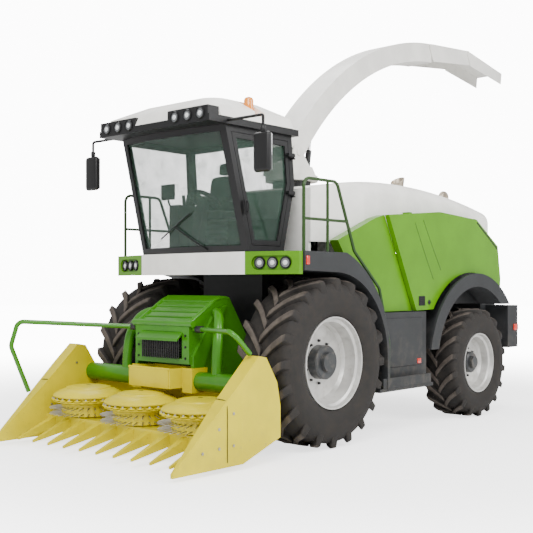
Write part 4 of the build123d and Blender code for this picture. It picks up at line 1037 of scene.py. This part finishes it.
class HARVESTER_OT_lid_fittings(bpy.types.Operator):
    """Adds strips of painted shade along the pressed lines, a louvred vent, a latch and an edge strip to each
    side lid
    """

    bl_idname = "harvester.lid_fittings"
    bl_label = "Lid fittings"

    lines = (((1.817, 2.526), (2.242, 1.83)), ((2.007, 2.567), (2.423, 1.948)))
    bow = 0.012
    strip = ((3.36, 2.60), (3.62, 2.45), (3.93, 2.26))
    louvres = 5
    latch = [(0.030, -0.004), (0.030, 0.006), (0.024, 0.010), (0.012, 0.012)]

    def execute(self, context):
        a = axle_y()
        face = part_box("side_lid_left")[1][0]
        folds = []
        for start, end in self.lines:
            halfway = ((start[0] + end[0]) / 2 - self.bow, (start[1] + end[1]) / 2)
            # Strips of darkened lime along the pressed lines: painted shade where the grooves are
            folds.append(piped("fold", [(face - 0.002, a + y, z) for y, z in (start, halfway, end)], 0.007))
        dark = [piped("edge", [(face - 0.004, a + y, z) for y, z in self.strip], 0.012)]
        dark.append(slab("vent_frame", (face - 0.012, a + 1.90, 1.50), (face + 0.008, a + 2.04, 1.62), 0.006))
        for row in range(self.louvres):
            z = 1.514 + 0.022 * row
            dark.append(slab("louvre", (face, a + 1.912, z), (face + 0.014, a + 2.028, z + 0.010), 0.003, 1))
        dark.append(turned("latch", self.latch, (face, a + 2.14, 1.54), (1, 0, 0), 28))
        low, high = (face + 0.006, a + 2.12, 1.532), (face + 0.016, a + 2.16, 1.548)
        dark.append(slab("latch_bar", low, high, 0.003))
        paired("lid_fittings", joined("lid_fittings_left", dark), "lid", "black")
        paired("lid_fold_shades", joined("lid_fold_shades_left", folds), "lid", "deep_lime")
        return {"FINISHED"}


class HARVESTER_OT_body_fittings(bpy.types.Operator):
    """Adds tank covers, lenses, dark sheets of painted shade inside the side bays, bolts, the wiper, the door
    handle and the beacon's dome
    """

    bl_idname = "harvester.body_fittings"
    bl_label = "Body fittings"

    tank_cap = [(0.045, -0.01), (0.045, 0.012), (0.038, 0.018), (0.012, 0.020)]
    tank_wall_above = 0.9
    tank_sill_below = 0.7
    pane_foot_y = -2.695
    wiper_foot_y = -2.712
    wiper_arm = ((0.32, 2.14), (0.10, 2.26), (-0.12, 2.40))
    wiper_blade = ((-0.38, 2.28), (-0.12, 2.41), (0.16, 2.54))
    handle_plate = [(0.868, -0.80, 2.50), (0.886, -0.755, 2.66)]
    handle_grip = [(x, -0.778, z) for x, z in (
        (0.880, 2.52), (0.908, 2.53), (0.912, 2.58), (0.908, 2.63), (0.880, 2.64))]
    beacon_above = 3.0
    dome = [(0.062, 3.60), (0.062, 3.665), (0.054, 3.67), (0.052, 3.76), (0.040, 3.785), (0.014, 3.795)]

    def execute(self, context):
        self.tanks_and_lenses()
        self.shade_sheets_and_bolts()
        self.cab_front()
        return {"FINISHED"}

    def tanks_and_lenses(self):
        covers, reds, caps = [], [], []
        (_, ahead, _), (_, behind, _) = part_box("side_tanks")
        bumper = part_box("rear_bumper")[1][0]
        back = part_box("marker_lamps")[1][1]
        (_, arch, _), (fender, _, _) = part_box("front_fenders")
        corners = [corner.co for corner in bpy.data.objects["side_tanks"].data.vertices]
        wall = max(point.x for point in corners if point.z > self.tank_wall_above)
        sill = max(point.x for point in corners if point.z < self.tank_sill_below)
        for _, side in SIDES:
            across, along = (wall - 0.012, wall + 0.012), (ahead + 0.10, behind - 0.10)
            covers.append(side_slab("cover", side, across, along, (0.78, 1.36), 0.010, 3))
            across, along = (sill - 0.012, sill + 0.012), (ahead + 0.06, behind - 0.06)
            covers.append(side_slab("step", side, across, along, (0.56, 0.68), 0.010, 3))
            # The red lens finish glows faintly, so this reflector, which is no lamp, carries a painted glow
            across, along = (wall + 0.010, wall + 0.018), (behind - 0.22, behind - 0.14)
            reds.append(side_slab("reflector", side, across, along, (0.80, 0.86), 0.003))
            place = (side * (wall + 0.010), ahead + 0.22, 1.26)
            caps.append(turned("cap", self.tank_cap, place, (side, 0, 0), 32))
            across, along = (fender - 0.004, fender + 0.012), (arch + 0.02, arch + 0.07)
            reds.append(side_slab("marker", side, across, along, (1.97, 2.06), 0.004))
            across, along = (bumper - 0.005, bumper + 0.022), (back - 0.15, back - 0.03)
            reds.append(side_slab("tail", side, across, along, (1.11, 1.20), 0.010, 3))
            along = (back - 0.016, back + 0.005)
            reds.append(side_slab("tail", side, (1.174, 1.326), along, (1.144, 1.236), 0.004))
        fitted("tank_covers", covers, "machine", "grey")
        fitted("red_lenses", reds, "machine", "red")
        fitted("tank_caps", caps, "machine", "black")

    @staticmethod
    def shade_sheets_and_bolts():
        a = axle_y()
        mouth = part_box("intake_housing")[0][1]
        shade_sheets, bolts = [], []
        for _, side in SIDES:
            # Dark sheets inside the bays behind the side panels: painted shade for the machine's shaded
            # inside
            shade_sheets.append(side_slab("shade_sheet", side, (1.02, 1.04), (a + 1.25, a + 3.95), (1.50, 2.13), 0.006))
            for z in (0.98, 1.10, 1.22):
                bolts.append(hex_bolt((side * 0.375, mouth, z), (0, -1, 0), 0.014, 0.010, 0.004, 0.012))
        fitted("bay_shade_sheets", shade_sheets, "machine", "chassis")
        fitted("intake_bolts", bolts, "header", "dark_steel")

    def cab_front(self):
        (_, screen_front, screen_foot), (_, _, screen_top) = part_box("cab_glass")
        lean = (screen_front - self.pane_foot_y) / (screen_top - screen_foot)

        def on_screen(points):
            return [(x, self.wiper_foot_y + lean * (z - screen_foot), z) for x, z in points]

        wiper = [piped("arm", on_screen(self.wiper_arm), 0.009),
                 piped("blade", on_screen(self.wiper_blade), 0.008)]
        fitted("wiper", wiper, "machine", "black")
        handle = [slab("plate", *from_axle(self.handle_plate), 0.006, 3),
                  piped("grip", from_axle(self.handle_grip), 0.008)]
        fitted("door_handle", handle, "door", "black")
        lamps = [corner.co for corner in bpy.data.objects["marker_lamps"].data.vertices]
        crown = [point for point in lamps if point.z > self.beacon_above]
        x, y = (sum(point[axis] for point in crown) / len(crown) for axis in (0, 1))
        dome = turned("beacon_dome", self.dome, (x, y, 0), steps=36)
        finished(dome, "machine", finishes["amber"])


# Operators: stage


class HARVESTER_OT_stage(bpy.types.Operator):
    """Lays the pale floor, sets the soft light and the camera"""

    bl_idname = "harvester.stage"
    bl_label = "Stage"

    floor_size = 120
    glow_near = (1.9, 1.9, 1.9)
    glow_far = (12.0, 12.0, 12.0)
    world_light = 0.85
    world_seen = 12.0
    # Name, place, aim, width and power of each soft light
    softboxes = (
        ("front_softbox", (6.0, -9.0, 9.0), (0, -1.5, 1.5), 6.0, 1300),
        ("side_softbox", (10.0, 2.0, 7.0), (0, 0.5, 1.5), 6.0, 900),
        ("top_softbox", (-3.0, 1.0, 11.0), (0, 0, 1.5), 7.0, 900),
    )
    camera_out = 7.471
    camera_ahead = 7.859
    camera_turn = math.radians(41.70)
    camera_shift = 0.0343

    def execute(self, context):
        self.lay_floor()
        self.light_world(context.scene)
        for name, place, aim, width, power in self.softboxes:
            bpy.ops.object.light_add(type="AREA", location=place)
            lamp = context.object
            lamp.name = name
            lamp.data.shape = "SQUARE"
            lamp.data.size = width
            lamp.data.energy = power
            lamp.rotation_euler = (Vector(aim) - Vector(place)).to_track_quat("-Z", "Y").to_euler()
        place = (self.camera_out, axle_y() - self.camera_ahead, sizes().camera_rise)
        bpy.ops.object.camera_add(location=place)
        camera = context.object
        camera.rotation_euler = (math.radians(90), 0, self.camera_turn)
        camera.data.sensor_width = 36.0
        camera.data.lens = sizes().lens_length
        camera.data.shift_y = self.camera_shift
        camera.data.clip_end = 200
        context.scene.camera = camera
        return {"FINISHED"}

    def lay_floor(self):
        """A pale floor whose glow is for the camera alone and grows away from the machine."""
        clear_selection()
        bpy.ops.mesh.primitive_plane_add(size=self.floor_size, location=(0, 0, 0))
        floor = settled("studio_floor")
        pale = Finish("studio_pale", roughness=0.9, specular_ior_level=0.05, emission_strength=1.0)
        pale.set(base_color=pale.mix(pale.noise(0.6, 3), (0.90, 0.90, 0.90), (0.94, 0.94, 0.94)))
        away = pale.fade(pale.reach((0, 1)), 4.0, 14.0)
        seen = pale.node("ShaderNodeLightPath", out="Is Camera Ray")
        glow = pale.mix(away, self.glow_near, self.glow_far)
        pale.set(emission_color=pale.mix(seen, (0.0, 0.0, 0.0), glow))
        floor.data.materials.append(pale.material)

    def light_world(self, scene):
        """An even white world, brighter where the camera sees it."""
        scene.world = bpy.data.worlds.new("studio_light")
        scene.world.use_nodes = True
        tree = scene.world.node_tree
        light = tree.nodes["Background"]
        light.inputs["Color"].default_value = (1, 1, 1, 1)
        ray = tree.nodes.new("ShaderNodeLightPath")
        brightness = tree.nodes.new("ShaderNodeMapRange")
        brightness.inputs["To Min"].default_value = self.world_light
        brightness.inputs["To Max"].default_value = self.world_seen
        tree.links.new(ray.outputs["Is Camera Ray"], brightness.inputs["Value"])
        tree.links.new(brightness.outputs[0], light.inputs["Strength"])


class HARVESTER_PT_sidebar(bpy.types.Panel):
    """Lists the harvester's pieces, sizes and colours"""

    bl_idname = "HARVESTER_PT_sidebar"
    bl_label = "Forage harvester"
    bl_space_type = "VIEW_3D"
    bl_region_type = "UI"
    bl_category = "Harvester"

    def draw(self, context):
        for group in (context.scene.harvester_sizes, context.scene.harvester_colours):
            for word in group.__annotations__:
                self.layout.prop(group, word)
        for operator in operators:
            self.layout.operator(operator.bl_idname)


groups = (HarvesterColours, HarvesterSizes)
operators = (
    HARVESTER_OT_finish_solids,
    HARVESTER_OT_tyres,
    HARVESTER_OT_wheel_bolts,
    HARVESTER_OT_lamps,
    HARVESTER_OT_mirrors,
    HARVESTER_OT_seat,
    HARVESTER_OT_controls,
    HARVESTER_OT_rotor_fittings,
    HARVESTER_OT_header_fittings,
    HARVESTER_OT_intake_fittings,
    HARVESTER_OT_lid_fittings,
    HARVESTER_OT_body_fittings,
    HARVESTER_OT_stage,
)


def register():
    for part in groups + operators + (HARVESTER_PT_sidebar,):
        bpy.utils.register_class(part)
    bpy.types.Scene.harvester_colours = PointerProperty(type=HarvesterColours)
    bpy.types.Scene.harvester_sizes = PointerProperty(type=HarvesterSizes)


def unregister():
    del bpy.types.Scene.harvester_sizes
    del bpy.types.Scene.harvester_colours
    for part in reversed(groups + operators + (HARVESTER_PT_sidebar,)):
        bpy.utils.unregister_class(part)


def main():
    register()
    for operator in operators:
        section, word = operator.bl_idname.split(".")
        getattr(getattr(bpy.ops, section), word)()


if __name__ == "__main__":
    main()
